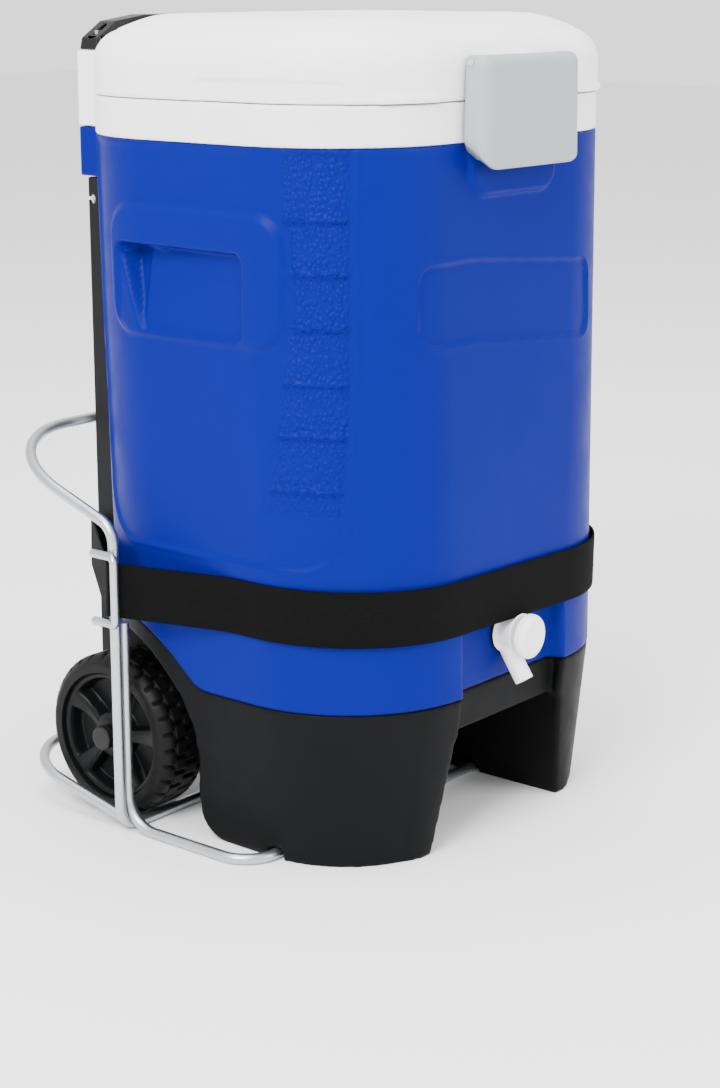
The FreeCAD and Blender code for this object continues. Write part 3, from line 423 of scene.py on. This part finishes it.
BLUE = (0.0015, 0.0045, 0.15)
MAKERS = {
    "shell_blue": lambda n: shell_plastic(n, BLUE),
    "foam": lambda n: foam(n, (0.85, 0.8, 0.62)),
    "liner_white": lambda n: plastic(n, (0.84, 0.85, 0.85), 0.3),
    "collar_white": lambda n: plastic(n, (0.87, 0.87, 0.865), 0.4, spread=0.02),
    "lid_white": lambda n: plastic(n, (0.9, 0.9, 0.895), 0.4, spread=0.015),
    "seal_rubber": lambda n: rubber(n, (0.01, 0.01, 0.01), 0.6),
    "latch_grey": lambda n: plastic(n, (0.3, 0.335, 0.34), 0.38, spread=0.03),
    "pin_steel": lambda n: metal(n, (0.6, 0.6, 0.61), 0.35),
    "base_black": lambda n: plastic(n, (0.0036, 0.0038, 0.0042), 0.5, grain=1300.0,
                                    strength=0.3, spread=0.15, shine=0.06),
    "hub_black": lambda n: plastic(n, (0.003, 0.0032, 0.0036), 0.38, spread=0.15, shine=0.12),
    "tyre_black": lambda n: rubber(n, (0.0035, 0.0035, 0.0037), 0.5),
    "cap_black": lambda n: plastic(n, (0.006, 0.006, 0.0065), 0.4, spread=0.1, shine=0.2),
    "housing_black": lambda n: plastic(n, (0.005, 0.0053, 0.006), 0.45, strength=0.3, spread=0.1,
                                       shine=0.12),
    "tube_aluminium": lambda n: metal(n, (0.6, 0.61, 0.63), 0.3, (60.0, 60.0, 4.0)),
    "grip_black": lambda n: plastic(n, (0.004, 0.0042, 0.0045), 0.36, spread=0.1, shine=0.2),
    "button_grey": lambda n: plastic(n, (0.12, 0.125, 0.13), 0.42),
    "spring_steel": lambda n: metal(n, (0.5, 0.5, 0.51), 0.35),
    "spigot_white": lambda n: plastic(n, (0.88, 0.88, 0.87), 0.32, spread=0.015),
    "button_white": lambda n: plastic(n, (0.9, 0.9, 0.89), 0.32, spread=0.015),
    "rack_steel": lambda n: metal(n, (0.47, 0.49, 0.51), 0.36),
    "strap_black": lambda n: webbing(n, (0.0016, 0.0016, 0.0017)),
    "buckle_black": lambda n: plastic(n, (0.004, 0.004, 0.0044), 0.42, shine=0.2),
    "rim_line": lambda n: metal(n, (0.5, 0.51, 0.53), 0.3),
}
_made = {}


def material_for(slot):
    if slot not in _made:
        _made[slot] = MAKERS[slot](slot)
    return _made[slot]


for node, obj in NODES.items():
    obj.data.materials.clear()
    obj.data.materials.append(material_for(SLOT_OF[node]))


# ---------------------------------------------------------------- drum shell

GRIP_SIDE = (-58, 56)
GRIP_HEIGHT = (348, 406)
RECESS_HALF, RECESS_TOP, RECESS_FACE = 58, 184, 146
RIB_HEIGHTS = (428, 394.5, 360.5, 326, 292, 257)
SHELL_SKIN = 3.0      # how thick the drum's skin is drawn where nothing is pressed in
RIB_RISE, RIB_GROOVE = 2.6, 0.4


def blue_edge(y):
    """Height of the line where the blue shell meets the black base: level, then round the arch."""
    arch = AXLE_Z + math.sqrt(max(ARCH_RADIUS ** 2 - min(AXLE_Y - y, ARCH_RADIUS) ** 2, 0))
    if y > AXLE_Y:
        arch = AXLE_Z + ARCH_RADIUS
    level = SKIRT_TOP + 0.5
    return level + ARCH_EASE * math.log1p(math.exp((arch - level) / ARCH_EASE))


def pebble_field(s, z):
    """Where the drum's side is pebbled: between the grip and the panel's front edge."""
    rear = 84 + 6 * np.exp(-((z - 378) / 26) ** 2) - np.clip((340 - z) / 100, 0, 1) * 15
    front = 129 - np.clip((300 - z) / 70, 0, 1) * 7
    edge = np.maximum(np.maximum(rear - s, s - front), np.maximum(240 - z, z - 474))
    return edge


def side_relief(s, z):
    """How far the drum's side is pressed in (above 0) or raised (below 0)."""
    narrow = np.clip(350 - z, 0, 160) * 0.06
    panel = rounded_box_edge(s, z, -89, 132, 196, 560, 40) + narrow
    relief = 1.2 * blend_in(panel, 2.2)
    relief += -0.9 * np.exp(-((panel - 0.6) / 1.9) ** 2)
    field = pebble_field(s, z)
    relief += 0.5 * blend_in(field, 2.0)
    for height in RIB_HEIGHTS:
        ridge = -RIB_RISE * np.exp(-((z - height - 0.6) / 1.3) ** 2)
        ridge += RIB_GROOVE * np.exp(-((z - height + 2.6) / 1.6) ** 2)
        relief += ridge * blend_in(field + 1.5, 4)
    pad = rounded_box_edge(s, z, -68, 88, 344, 433, 24)
    relief += -3.6 * blend_in(pad + 3, 8.0)
    rise = np.clip((z - GRIP_HEIGHT[0]) / (GRIP_HEIGHT[1] - GRIP_HEIGHT[0]), 0, 1)
    reach = np.clip((GRIP_SIDE[1] - s) / 95, 0, 1)
    hole = rounded_box_edge(s, z, *GRIP_SIDE, *GRIP_HEIGHT, 8)
    scoop = 4.0 + rise * (2.0 + 8.0 * reach)
    wedge = GRIP_SIDE[0] + 1 + (GRIP_HEIGHT[1] - z) * 0.42
    scoop += 5.0 * rise ** 0.6 * blend_in(np.maximum(wedge - s, s + 35), 5.0)
    scoop *= 1 - 0.75 * blend_in(s - wedge, 5.0)
    relief += scoop * blend_in(hole + 1, 2.6)
    return relief


def front_relief(x, z, front):
    """The same for the drum's front: the label panel, the boss and the spigot's recess."""
    label = rounded_box_edge(x, z + np.clip(x + 40, 0, 140) * 0.09, -94, 94, 346, 398, 12)
    relief = 1.9 * blend_in(label, 1.8) - 0.5 * np.exp(-((label - 1) / 1.5) ** 2)
    boss = rounded_box_edge(x, z, -46, 46, 438, 520, 15)
    relief += -4.0 * blend_in(boss, 3.5)
    room = rounded_box_edge(x, z, -RECESS_HALF, RECESS_HALF, -100, RECESS_TOP, 34)
    relief += (front - RECESS_FACE) * blend_in(room + 2, 7.0)
    return relief


def drum_skin():
    """The blue shell, with its grips, ribs, label panel and spigot recess pressed in or raised."""
    step = 1.6
    columns = outline_columns(step)
    rows = int((SHELL_TOP - SKIRT_TOP) / step) + 1
    level_rings = {}

    def ring_at(z):
        key = round(z, 1)
        if key not in level_rings:
            level_rings[key] = outline_ring(columns, key)
        return level_rings[key]

    foot = np.array([blue_edge(y) for y in ring_at(SKIRT_TOP)[0][:, 1]])
    outer = np.zeros((rows, len(columns), 3))
    normal = np.zeros((rows, len(columns), 3))
    for r in range(rows):
        share = r / (rows - 1)
        heights = foot + (SHELL_TOP - foot) * share
        low, high = ring_at(SKIRT_TOP), ring_at(SHELL_TOP)
        mix = ((heights - SKIRT_TOP) / (SHELL_TOP - SKIRT_TOP))[:, None]
        outer[r, :, :2] = low[0] * (1 - mix) + high[0] * mix
        outer[r, :, 2] = heights
        normal[r, :, :2] = low[1]
    x, y, z = outer[..., 0], outer[..., 1], outer[..., 2]
    s = side_distance(x, y, (SKIRT_TOP + SHELL_TOP) / 2)
    front = FRONT_LOW + (FRONT_TOP - FRONT_LOW) * (z - SKIRT_TOP) / (SHELL_TOP - SKIRT_TOP)
    facing = blend_in(y + 100, 40)
    relief = side_relief(s, z) * np.where(np.abs(x) > 60, 1, 0)
    relief += front_relief(x, z, front) * facing
    relief = np.where(relief > 0, relief * np.clip((SHELL_TOP - z) / 5, 0, 1), relief)
    edge_round = np.clip(1 - (SHELL_TOP - z) / 2.0, 0, 1) ** 2 * 1.0
    relief += edge_round
    points = outer - normal * relief[..., None]
    inner = (outer - normal * np.maximum(SHELL_SKIN, relief + 1.2)[..., None])[::-4]
    stack = np.concatenate([points, inner])
    faces = grid_faces(len(stack), len(columns), wrap_rows=True)
    skin = new_piece("drum_skin", stack.reshape(-1, 3), faces, "cooler", "shell_blue",
                     ("body_shell",))
    mask = np.zeros(len(stack) * len(columns), np.float32)
    mask[:rows * len(columns)] = (blend_in(pebble_field(s, z) + 2, 3)
                                  * (rounded_box_edge(s, z, -60, 92, 344, 436, 22) > 0)
                                  * (np.abs(x) > 60)).ravel()
    layer = skin.data.attributes.new("pebble", "FLOAT", "POINT")
    layer.data.foreach_set("value", mask)
    return skin


FOOT_CORNER = 26      # radius of a front foot's rear lower corner
FOOT_LEAN, FOOT_LEAN_TOP = 13, 82


def base_shape(co):
    """Rounds the feet's rear lower corners, lifts the rim to the blue edge's easy curve, and
    leans the feet's inner walls."""
    x, y, z = co[:, 0], co[:, 1], co[:, 2]
    across, down = (y + FOOT_CORNER) / FOOT_CORNER, (FOOT_CORNER - z) / FOOT_CORNER
    beyond = np.hypot(across, down)
    corner = (across > 0) & (down > 0) & (beyond > 1) & (y < 20) & (np.abs(x) > 62)
    co[corner, 1] = across[corner] / beyond[corner] * FOOT_CORNER - FOOT_CORNER
    co[corner, 2] = FOOT_CORNER - down[corner] / beyond[corner] * FOOT_CORNER
    drop = np.minimum(AXLE_Y - y, ARCH_RADIUS)
    arch = AXLE_Z + np.sqrt(np.maximum(ARCH_RADIUS ** 2 - drop ** 2, 0))
    hard = np.maximum(SKIRT_TOP, np.where(y > AXLE_Y, AXLE_Z + ARCH_RADIUS, arch))
    soft = np.array([blue_edge(v) for v in y])
    co[:, 2] = z + (soft - hard) * np.clip((z - hard + 12) / 12, 0, 1) * (np.abs(x) > 100)
    lean = FOOT_LEAN * np.clip(1 - z / FOOT_LEAN_TOP, 0, 1) * np.clip((98 - np.abs(x)) / 34, 0, 1)
    inner = (np.abs(x) > 54) & (y < -24)
    co[inner, 0] += (np.sign(x) * lean)[inner]
    return co


drum_skin()
moulded("blue_guides", "body_shell", 1.2, 5, replaces=False,
        keep=[((0, BACK + 0.1, 0), (0, 1, 0))])
moulded("collar_skin", "rim_collar", 1.4, 3)
moulded("base_moulding", "base_skirt", 1.8, 7, reshape=base_shape)
moulded("housing_moulding", "handle_housing", 1.3, 3)


# ---------------------------------------------------------------- lid

LID_EDGE_RADIUS = 22.0


def lid_profile():
    """From the seam, up the side and over the top: how far in, and how high."""
    low, top = LID_LOW[2], LID_HIGH[2]
    shoulder = low + 19.5
    rows = [(0.9, low), (0.15, low + 0.6), (-0.4, low + 1.5)]
    rows += [(-0.4, low + 1.5 + (shoulder - low - 1.5) * i / 14) for i in range(1, 15)]
    for i in range(1, 13):
        turn = i / 12 * math.radians(72)
        rows.append((-0.4 + LID_EDGE_RADIUS * (1 - math.cos(turn)),
                     shoulder + LID_EDGE_RADIUS * math.sin(turn)))
    inset, height = rows[-1]
    rows += [(inset + 0.9, height + 0.3), (inset + 1.9, height + 1.3), (inset + 3.2, height + 1.9)]
    start, base, end = inset + 3.2, height + 1.9, 52.0
    for i in range(1, 13):
        t = i / 12
        rows.append((start + (end - start) * t,
                     base + (top - 0.4 - base) * math.sin(t * math.pi / 2)))
    rows += [(end + 30 * t, top - 0.4 + 0.4 * t) for t in (0.33, 0.67, 1.0)]
    return rows


def lid_skin():
    columns = outline_columns(1.9)
    rings = []
    for inset, z in lid_profile():
        ring, normal = outline_ring(columns, SHELL_TOP, max(inset, 0))
        ring = ring - normal * min(inset, 0)
        s = side_distance(ring[:, 0], ring[:, 1], SHELL_TOP)
        x = ring[:, 0]
        height = z - LID_LOW[2]
        pull = rounded_box_edge(s, np.full_like(s, height), 17, 126, -12, 13.5, 7)
        relief = 2.3 * blend_in(pull, 1.6) * (np.abs(x) > 60) * (1 if inset < 3 else 0)
        lip = rounded_box_edge(s, np.full_like(s, height), 146, 192, -3, 5.0, 2.4)
        relief += -2.2 * blend_in(lip, 1.8) * (np.abs(x) > 60) * (1 if inset < 3 else 0)
        ring = ring - normal * relief[:, None]
        rings.append(np.column_stack([ring, np.full(len(ring), z)]))
    top = rings[-1]
    middle = top[:, :2].mean(0)
    for share in (0.66, 0.33, 0.02):
        inner = top.copy()
        inner[:, :2] = middle + (top[:, :2] - middle) * share
        rings.append(inner)
    under = rings[::-1][3:]
    inside = []
    for ring in under[::3]:
        shrunk = ring.copy()
        centre = np.array([0, (BACK - FRONT_TOP) / 2])
        away = ring[:, :2] - centre
        length = np.linalg.norm(away, axis=1, keepdims=True)
        shrunk[:, :2] = centre + away * np.maximum(length - 3, 1) / length
        shrunk[:, 2] = np.maximum(ring[:, 2] - 3, LID_LOW[2])
        inside.append(shrunk)
    cap = inside[0].copy()
    cap[:, :2] = middle + (cap[:, :2] - middle) * 0.02
    stack = np.concatenate([*rings, cap, *inside])
    count = len(rings) + 1 + len(inside)
    faces = grid_faces(count, len(columns), wrap_rows=True)
    return new_piece("lid_skin", stack, faces, "lid", "lid_white", ("lid_shell",))


lid_skin()
moulded("lid_hinge_knuckle", "lid_shell", 0.8, 3, replaces=False,
        keep=[((0, BACK + 0.3, 0), (0, 1, 0))])
moulded("lid_latch_knuckle", "lid_shell", 0.8, 3, replaces=False,
        keep=[((0, -FRONT_TOP - 0.3, 0), (0, -1, 0))])


def latch_skin():
    """The latch: a plate with a rounded roof edge, its cheeks running back and ending above the
    tongue, whose lower corners are round."""
    low, high = span("lid_latch")
    half, front, rear, foot, top = high[0], low[1], high[1], low[2], high[2]
    bend, wall, draft = 8.0, 2.6, 1.5
    roof, tongue, slope = 7, 15, 0.6      # radii of roof edge and tongue corners, rise of cheeks
    flat = 8.5                            # how far in the roof's flat begins

    def plan(inset_x, inset_y):
        """The latch seen from above, from one cheek's back edge round the front to the other."""
        x, y = half - inset_x, front + inset_y
        r = max(bend - min(inset_x, inset_y), 0.6)
        points = [(-x, rear - (rear - y - r) * i / 8) for i in range(8)]
        points += [(-x + r * (1 - math.cos(t)), y + r * (1 - math.sin(t)))
                   for t in np.linspace(0, math.pi / 2, 9)]
        points += [(-x + r + (x - r) * i / 16, y) for i in range(1, 16)]
        points.append((0.0, y))
        return np.array(points + [(-a, b) for a, b in points[-2::-1]])

    def row(inset_x, inset_y, share, lift):
        """One row, share of the way from the lower edge to lift below the top."""
        ring = plan(inset_x, inset_y)
        corner = np.clip(np.abs(ring[:, 0]) - (half - tongue), 0, tongue - 0.1)
        edge = foot + tongue - np.sqrt(tongue ** 2 - corner ** 2)
        edge = edge + slope * np.clip(ring[:, 1] - (front + bend), 0, None)
        return np.column_stack([ring, edge + (top - lift - edge) * share])

    def sheet(depth, follow):
        """The rows of one face, depth in from the outside, follow easing its roof edge."""
        rows = [row(draft * share + depth, depth, share, roof + depth)
                for share in np.linspace(0, 1, 24)]
        for turn in np.linspace(0, math.pi / 2, 9)[1:]:
            inset = roof * (1 - math.cos(turn))
            rows.append(row(draft + depth + inset * 0.55, depth + inset * follow, 1,
                            roof * (1 - math.sin(turn)) + depth))
        return rows + [row(flat - 2 + depth, flat + depth, 1, depth)]

    outer, inner = sheet(0, 1), sheet(wall, 0.7)
    stack = outer + inner[::-1]
    count, wide = len(stack), len(outer[0])
    faces = grid_faces(count, wide, wrap_columns=False, wrap_rows=True)
    for end in (0, wide - 1):
        for i in range(count // 2 - 1):
            j = count - 1 - i
            faces.append((i * wide + end, (i + 1) * wide + end, (j - 1) * wide + end,
                          j * wide + end))
    new_piece("latch_moulding", np.concatenate(stack), faces, "latch", "latch_grey",
              ("lid_latch",))


latch_skin()


# ---------------------------------------------------------------- spigot and handle

moulded("spigot_moulding", "spigot_body", 0.6, 3)
moulded("spigot_push_disc", "spigot_button", 0.6, 3)
moulded("grip_moulding", "handle_grip", 0.8, 6)
moulded("button_moulding", "release_button", 0.6, 3)
moulded("buckle_moulding", "strap_buckle", 0.7, 3)
moulded("caps_moulding", "axle_caps", 0.6, 4)


# ---------------------------------------------------------------- wheels

def wheel_face(name, body, sign, hub_node):
    """The hub: a dished disc with five spokes, its windows sunk between them."""
    low, high = span(hub_node)
    outside = high[0] if sign > 0 else low[0]
    rim = (high[2] - low[2]) / 2
    turns, spokes, bore, hub_depth = 240, 5, 5.2, 38
    window_depth, boss_radius = 11, 12
    radii = np.concatenate([np.linspace(bore, 14, 10), np.linspace(15, rim, 46)])
    theta = np.arange(turns) * 2 * math.pi / turns
    rows = []
    for r in radii:
        spoke = np.abs((theta * spokes / (2 * math.pi) + 0.1) % 1 - 0.5) * 2 * math.pi / spokes * r
        half_spoke = 4.6 + 4.2 * ((r - 14) / (rim - 14)) ** 2 * (r > 14)
        window_side = half_spoke - spoke
        edge = np.maximum(window_side, max(16.5 - r, r - (rim - 5.5)))
        sunk = window_depth * blend_in(edge, 2.2) + 0.9 * np.exp(-((edge - 1.6) / 0.8) ** 2)
        dish = 2.2 * math.sin(max(0, min(1, (r - boss_radius) / (rim - 16))) * math.pi) + 0.8
        boss = -1.2 if r < boss_radius else 0
        depth = sunk + dish + boss
        if r > rim - 1.5:
            depth = depth + 0.6
        rows.append(np.column_stack([outside - sign * depth, AXLE_Y + r * np.cos(theta),
                                     AXLE_Z + r * np.sin(theta)]))
    back = rows[-1].copy()
    back[:, 0] = outside - sign * hub_depth
    rows.append(back)
    inner = rows[0].copy()
    inner[:, 0] = outside - sign * hub_depth
    rows.append(inner)
    faces = grid_faces(len(rows), turns, wrap_rows=True)
    new_piece(name, np.concatenate(rows), faces, body, "hub_black", (hub_node,))
    wire = 0.55
    line = [(outside + sign * 0.1 + wire * math.cos(t), rim + 0.2 + wire * math.sin(t))
            for t in np.linspace(0, 2 * math.pi, 9)[:-1]]
    revolve(name + "_line", line, (0, AXLE_Y, AXLE_Z), (1, 0, 0), body, "hub_black",
            count=120, look="rim_line")


def tyre(name, body, node):
    """A hard tyre with staggered lanes of tread blocks on its crown."""
    low, high = span(node)
    crown, rim = (high[2] - low[2]) / 2, span("wheel_hub_left")[1][2] - AXLE_Z
    middle, half = (low[0] + high[0]) / 2, (high[0] - low[0]) / 2
    seat = rim - 0.4
    section = rounded_profile([(-half, seat, 0.6), (-half, crown - 6, 2), (-half + 5, crown, 4),
                               (half - 5, crown, 4), (half, crown - 6, 2), (half, seat, 0.6)],
                              2, 6)
    fine = []
    for a, b in zip(section, section[1:] + section[:1]):
        pieces = max(1, int(math.hypot(b[0] - a[0], b[1] - a[1]) / 1.0))
        fine += [(a[0] + (b[0] - a[0]) * i / pieces, a[1] + (b[1] - a[1]) * i / pieces)
                 for i in range(pieces)]
    turns, blocks, lanes_across, tread_depth = 360, 30, 4, 2.3
    theta = np.arange(turns) * 2 * math.pi / turns
    rows = []
    for along, radius in fine:
        outer = max(0, min(1, (radius - (crown - 4)) / 3))
        lane = (along + half) / (2 * half) * lanes_across
        phase = (theta * blocks / (2 * math.pi) + 0.5 * (int(lane) % 2)) % 1
        groove = blend_in((0.38 - np.abs(phase - 0.5)) * 60, 4.0)
        off_lane = abs(lane % 1 - 0.5)
        between = 1.0 if off_lane > 0.43 and 0.5 < abs(along) < half - 4 else 0.0
        cut = tread_depth * outer * np.maximum(groove, between)
        r = radius - cut
        rows.append(np.column_stack([np.full(turns, middle + along), AXLE_Y + r * np.cos(theta),
                                     AXLE_Z + r * np.sin(theta)]))
    faces = grid_faces(len(rows), turns, wrap_rows=True)
    new_piece(name, np.concatenate(rows), faces, body, "tyre_black", (node,))


for side, sign in (("left", -1), ("right", 1)):
    wheel_face(f"hub_{side}_moulding", f"wheel_{side}", sign, f"wheel_hub_{side}")
    tyre(f"tyre_{side}_tread", f"wheel_{side}", f"tyre_{side}")


# ---------------------------------------------------------------- strap

STRAP_HALF_THICKNESS = 0.8
STRAP_WIDTH = 37
STRAP_TILT = math.radians(1.5)
STRAP_Z = 171


def bent_line(corners, bends, spacing=2.0):
    """Points along straight runs joined by tangent arcs, round a closed outline."""
    points = []
    count = len(corners)
    for i in range(count):
        here, bend = Vector(corners[i]), bends[i]
        back = (Vector(corners[i - 1]) - here).normalized()
        ahead = (Vector(corners[(i + 1) % count]) - here).normalized()
        half = math.acos(max(-1, min(1, back.dot(ahead)))) / 2
        centre = here + (back + ahead).normalized() * bend / math.sin(half)
        start = here + back * bend / math.tan(half) - centre
        end = here + ahead * bend / math.tan(half) - centre
        sweep = start.angle_signed(end)
        steps = max(3, int(abs(sweep) * bend / spacing))
        for k in range(steps + 1):
            turn = -sweep * k / steps
            c, s_ = math.cos(turn), math.sin(turn)
            points.append(centre + Vector((start.x * c - start.y * s_, start.x * s_ + start.y * c)))
    full = []
    for a, b in zip(points, points[1:] + points[:1]):
        pieces = max(1, int((b - a).length / spacing))
        full += [a + (b - a) * k / pieces for k in range(pieces)]
    return full


def strap():
    """Webbing round the drum's front, over the uprights and across the handle housing."""
    half, gap, housing_gap = STRAP_HALF_THICKNESS, 0.35, 1.2
    skin, corner = half + gap, CORNER_LOW - 3
    front = -(FRONT_LOW - 1.2) - skin
    side = HALF_LOW + 0.9 + skin
    rack_low, rack_high = span("rack_uprights")
    rod, rack_y = (rack_high[1] - rack_low[1]) / 2, (rack_high[1] + rack_low[1]) / 2
    rack_x = rack_high[0] - rod
    housing = span("handle_housing")[1]
    wrap = rod + skin
    back = span("handle_tube_left")[1][1] + skin
    plan = [(-side, front), (-side, -40), (-rack_x - wrap * 1.1113, rack_y + wrap * 0.2291),
            (-housing[0] - housing_gap, back)]
    plan = plan + [(-x, y) for x, y in reversed(plan)]
    bends = [corner, 60, wrap, 3, 3, wrap, 60, corner]
    line = bent_line(plan, bends)
    count = len(line)
    section = [(-half, -0.5), (-half, -0.44), (-half, -0.2), (-half, 0.2), (-half, 0.44),
               (-half, 0.5), (half, 0.5), (half, 0.44), (half, 0.2), (half, -0.2), (half, -0.44),
               (half, -0.5)]
    verts, run = [], [0.0]
    for i, here in enumerate(line):
        before, after = line[i - 1], line[(i + 1) % count]
        along = (after - before).normalized()
        normal = Vector((along.y, -along.x))
        for off, up in section:
            thin = 0.7 if abs(up) > 0.47 else 1.0
            rise = up * STRAP_WIDTH
            p = Vector((here.x + normal.x * off * thin, here.y + normal.y * off * thin, rise))
            p = Matrix.Rotation(STRAP_TILT, 3, "Y") @ p
            verts.append((p.x, p.y, p.z + STRAP_Z))
        run.append(run[-1] + (after - here).length)
    wide = len(section)
    faces = grid_faces(count, wide, wrap_rows=True)
    piece = new_piece("strap_webbing", verts, faces, "cooler", "strap_black", ("strap",))
    layer = piece.data.uv_layers.new(name="UVMap")
    for polygon in piece.data.polygons:
        rows = [v // wide for v in polygon.vertices]
        wraps = 0 in rows and max(rows) > 1
        for loop, vertex in zip(polygon.loop_indices, polygon.vertices):
            row = vertex // wide
            u = run[count] if wraps and row == 0 else run[row]
            layer.data[loop].uv = (u, section[vertex % wide][1] * STRAP_WIDTH)


strap()


# ---------------------------------------------------------------- stage, light and camera

def stage_floor():
    mesh = bpy.data.meshes.new("floor")
    work = bmesh.new()
    bmesh.ops.create_grid(work, x_segments=2, y_segments=2, size=9)
    work.to_mesh(mesh)
    work.free()
    floor = bpy.data.objects.new("floor", mesh)
    bpy.context.scene.collection.objects.link(floor)
    material, _, shader = node_tree("floor_paint")
    shader.inputs["Base Color"].default_value = (0.9, 0.9, 0.9, 1)
    shader.inputs["Roughness"].default_value = 0.9
    mesh.materials.append(material)


def lamp(name, place, target, size, power):
    data = bpy.data.lights.new(name, "AREA")
    data.shape = "RECTANGLE"
    data.size, data.size_y = size
    data.energy = power
    obj = bpy.data.objects.new(name, data)
    bpy.context.scene.collection.objects.link(obj)
    obj.location = place
    obj.rotation_euler = (Vector(target) - Vector(place)).to_track_quat("-Z", "Y").to_euler()


def studio():
    world = bpy.data.worlds.new("studio")
    bpy.context.scene.world = world
    world.use_nodes = True
    background = world.node_tree.nodes["Background"]
    background.inputs["Color"].default_value = (1, 1, 1, 1)
    background.inputs["Strength"].default_value = 1.7
    middle = (0, 0, 0.28)
    lamp("key", (-2.1, -0.5, 2.0), middle, (1.2, 1.2), 120)
    lamp("front_fill", (0.9, -2.3, 1.2), middle, (1.4, 1.4), 35)
    lamp("top", (0, 0, 2.6), middle, (2.0, 2.0), 75)


def camera():
    data = bpy.data.cameras.new("camera")
    data.lens = 73.62
    data.sensor_width = 36
    obj = bpy.data.objects.new("camera", data)
    bpy.context.scene.collection.objects.link(obj)
    obj.location = (-1.1874, -0.9953, 0.577)
    obj.rotation_euler = (math.radians(75.56), 0, math.radians(-50.60))
    bpy.context.scene.camera = obj


stage_floor()
studio()
camera()
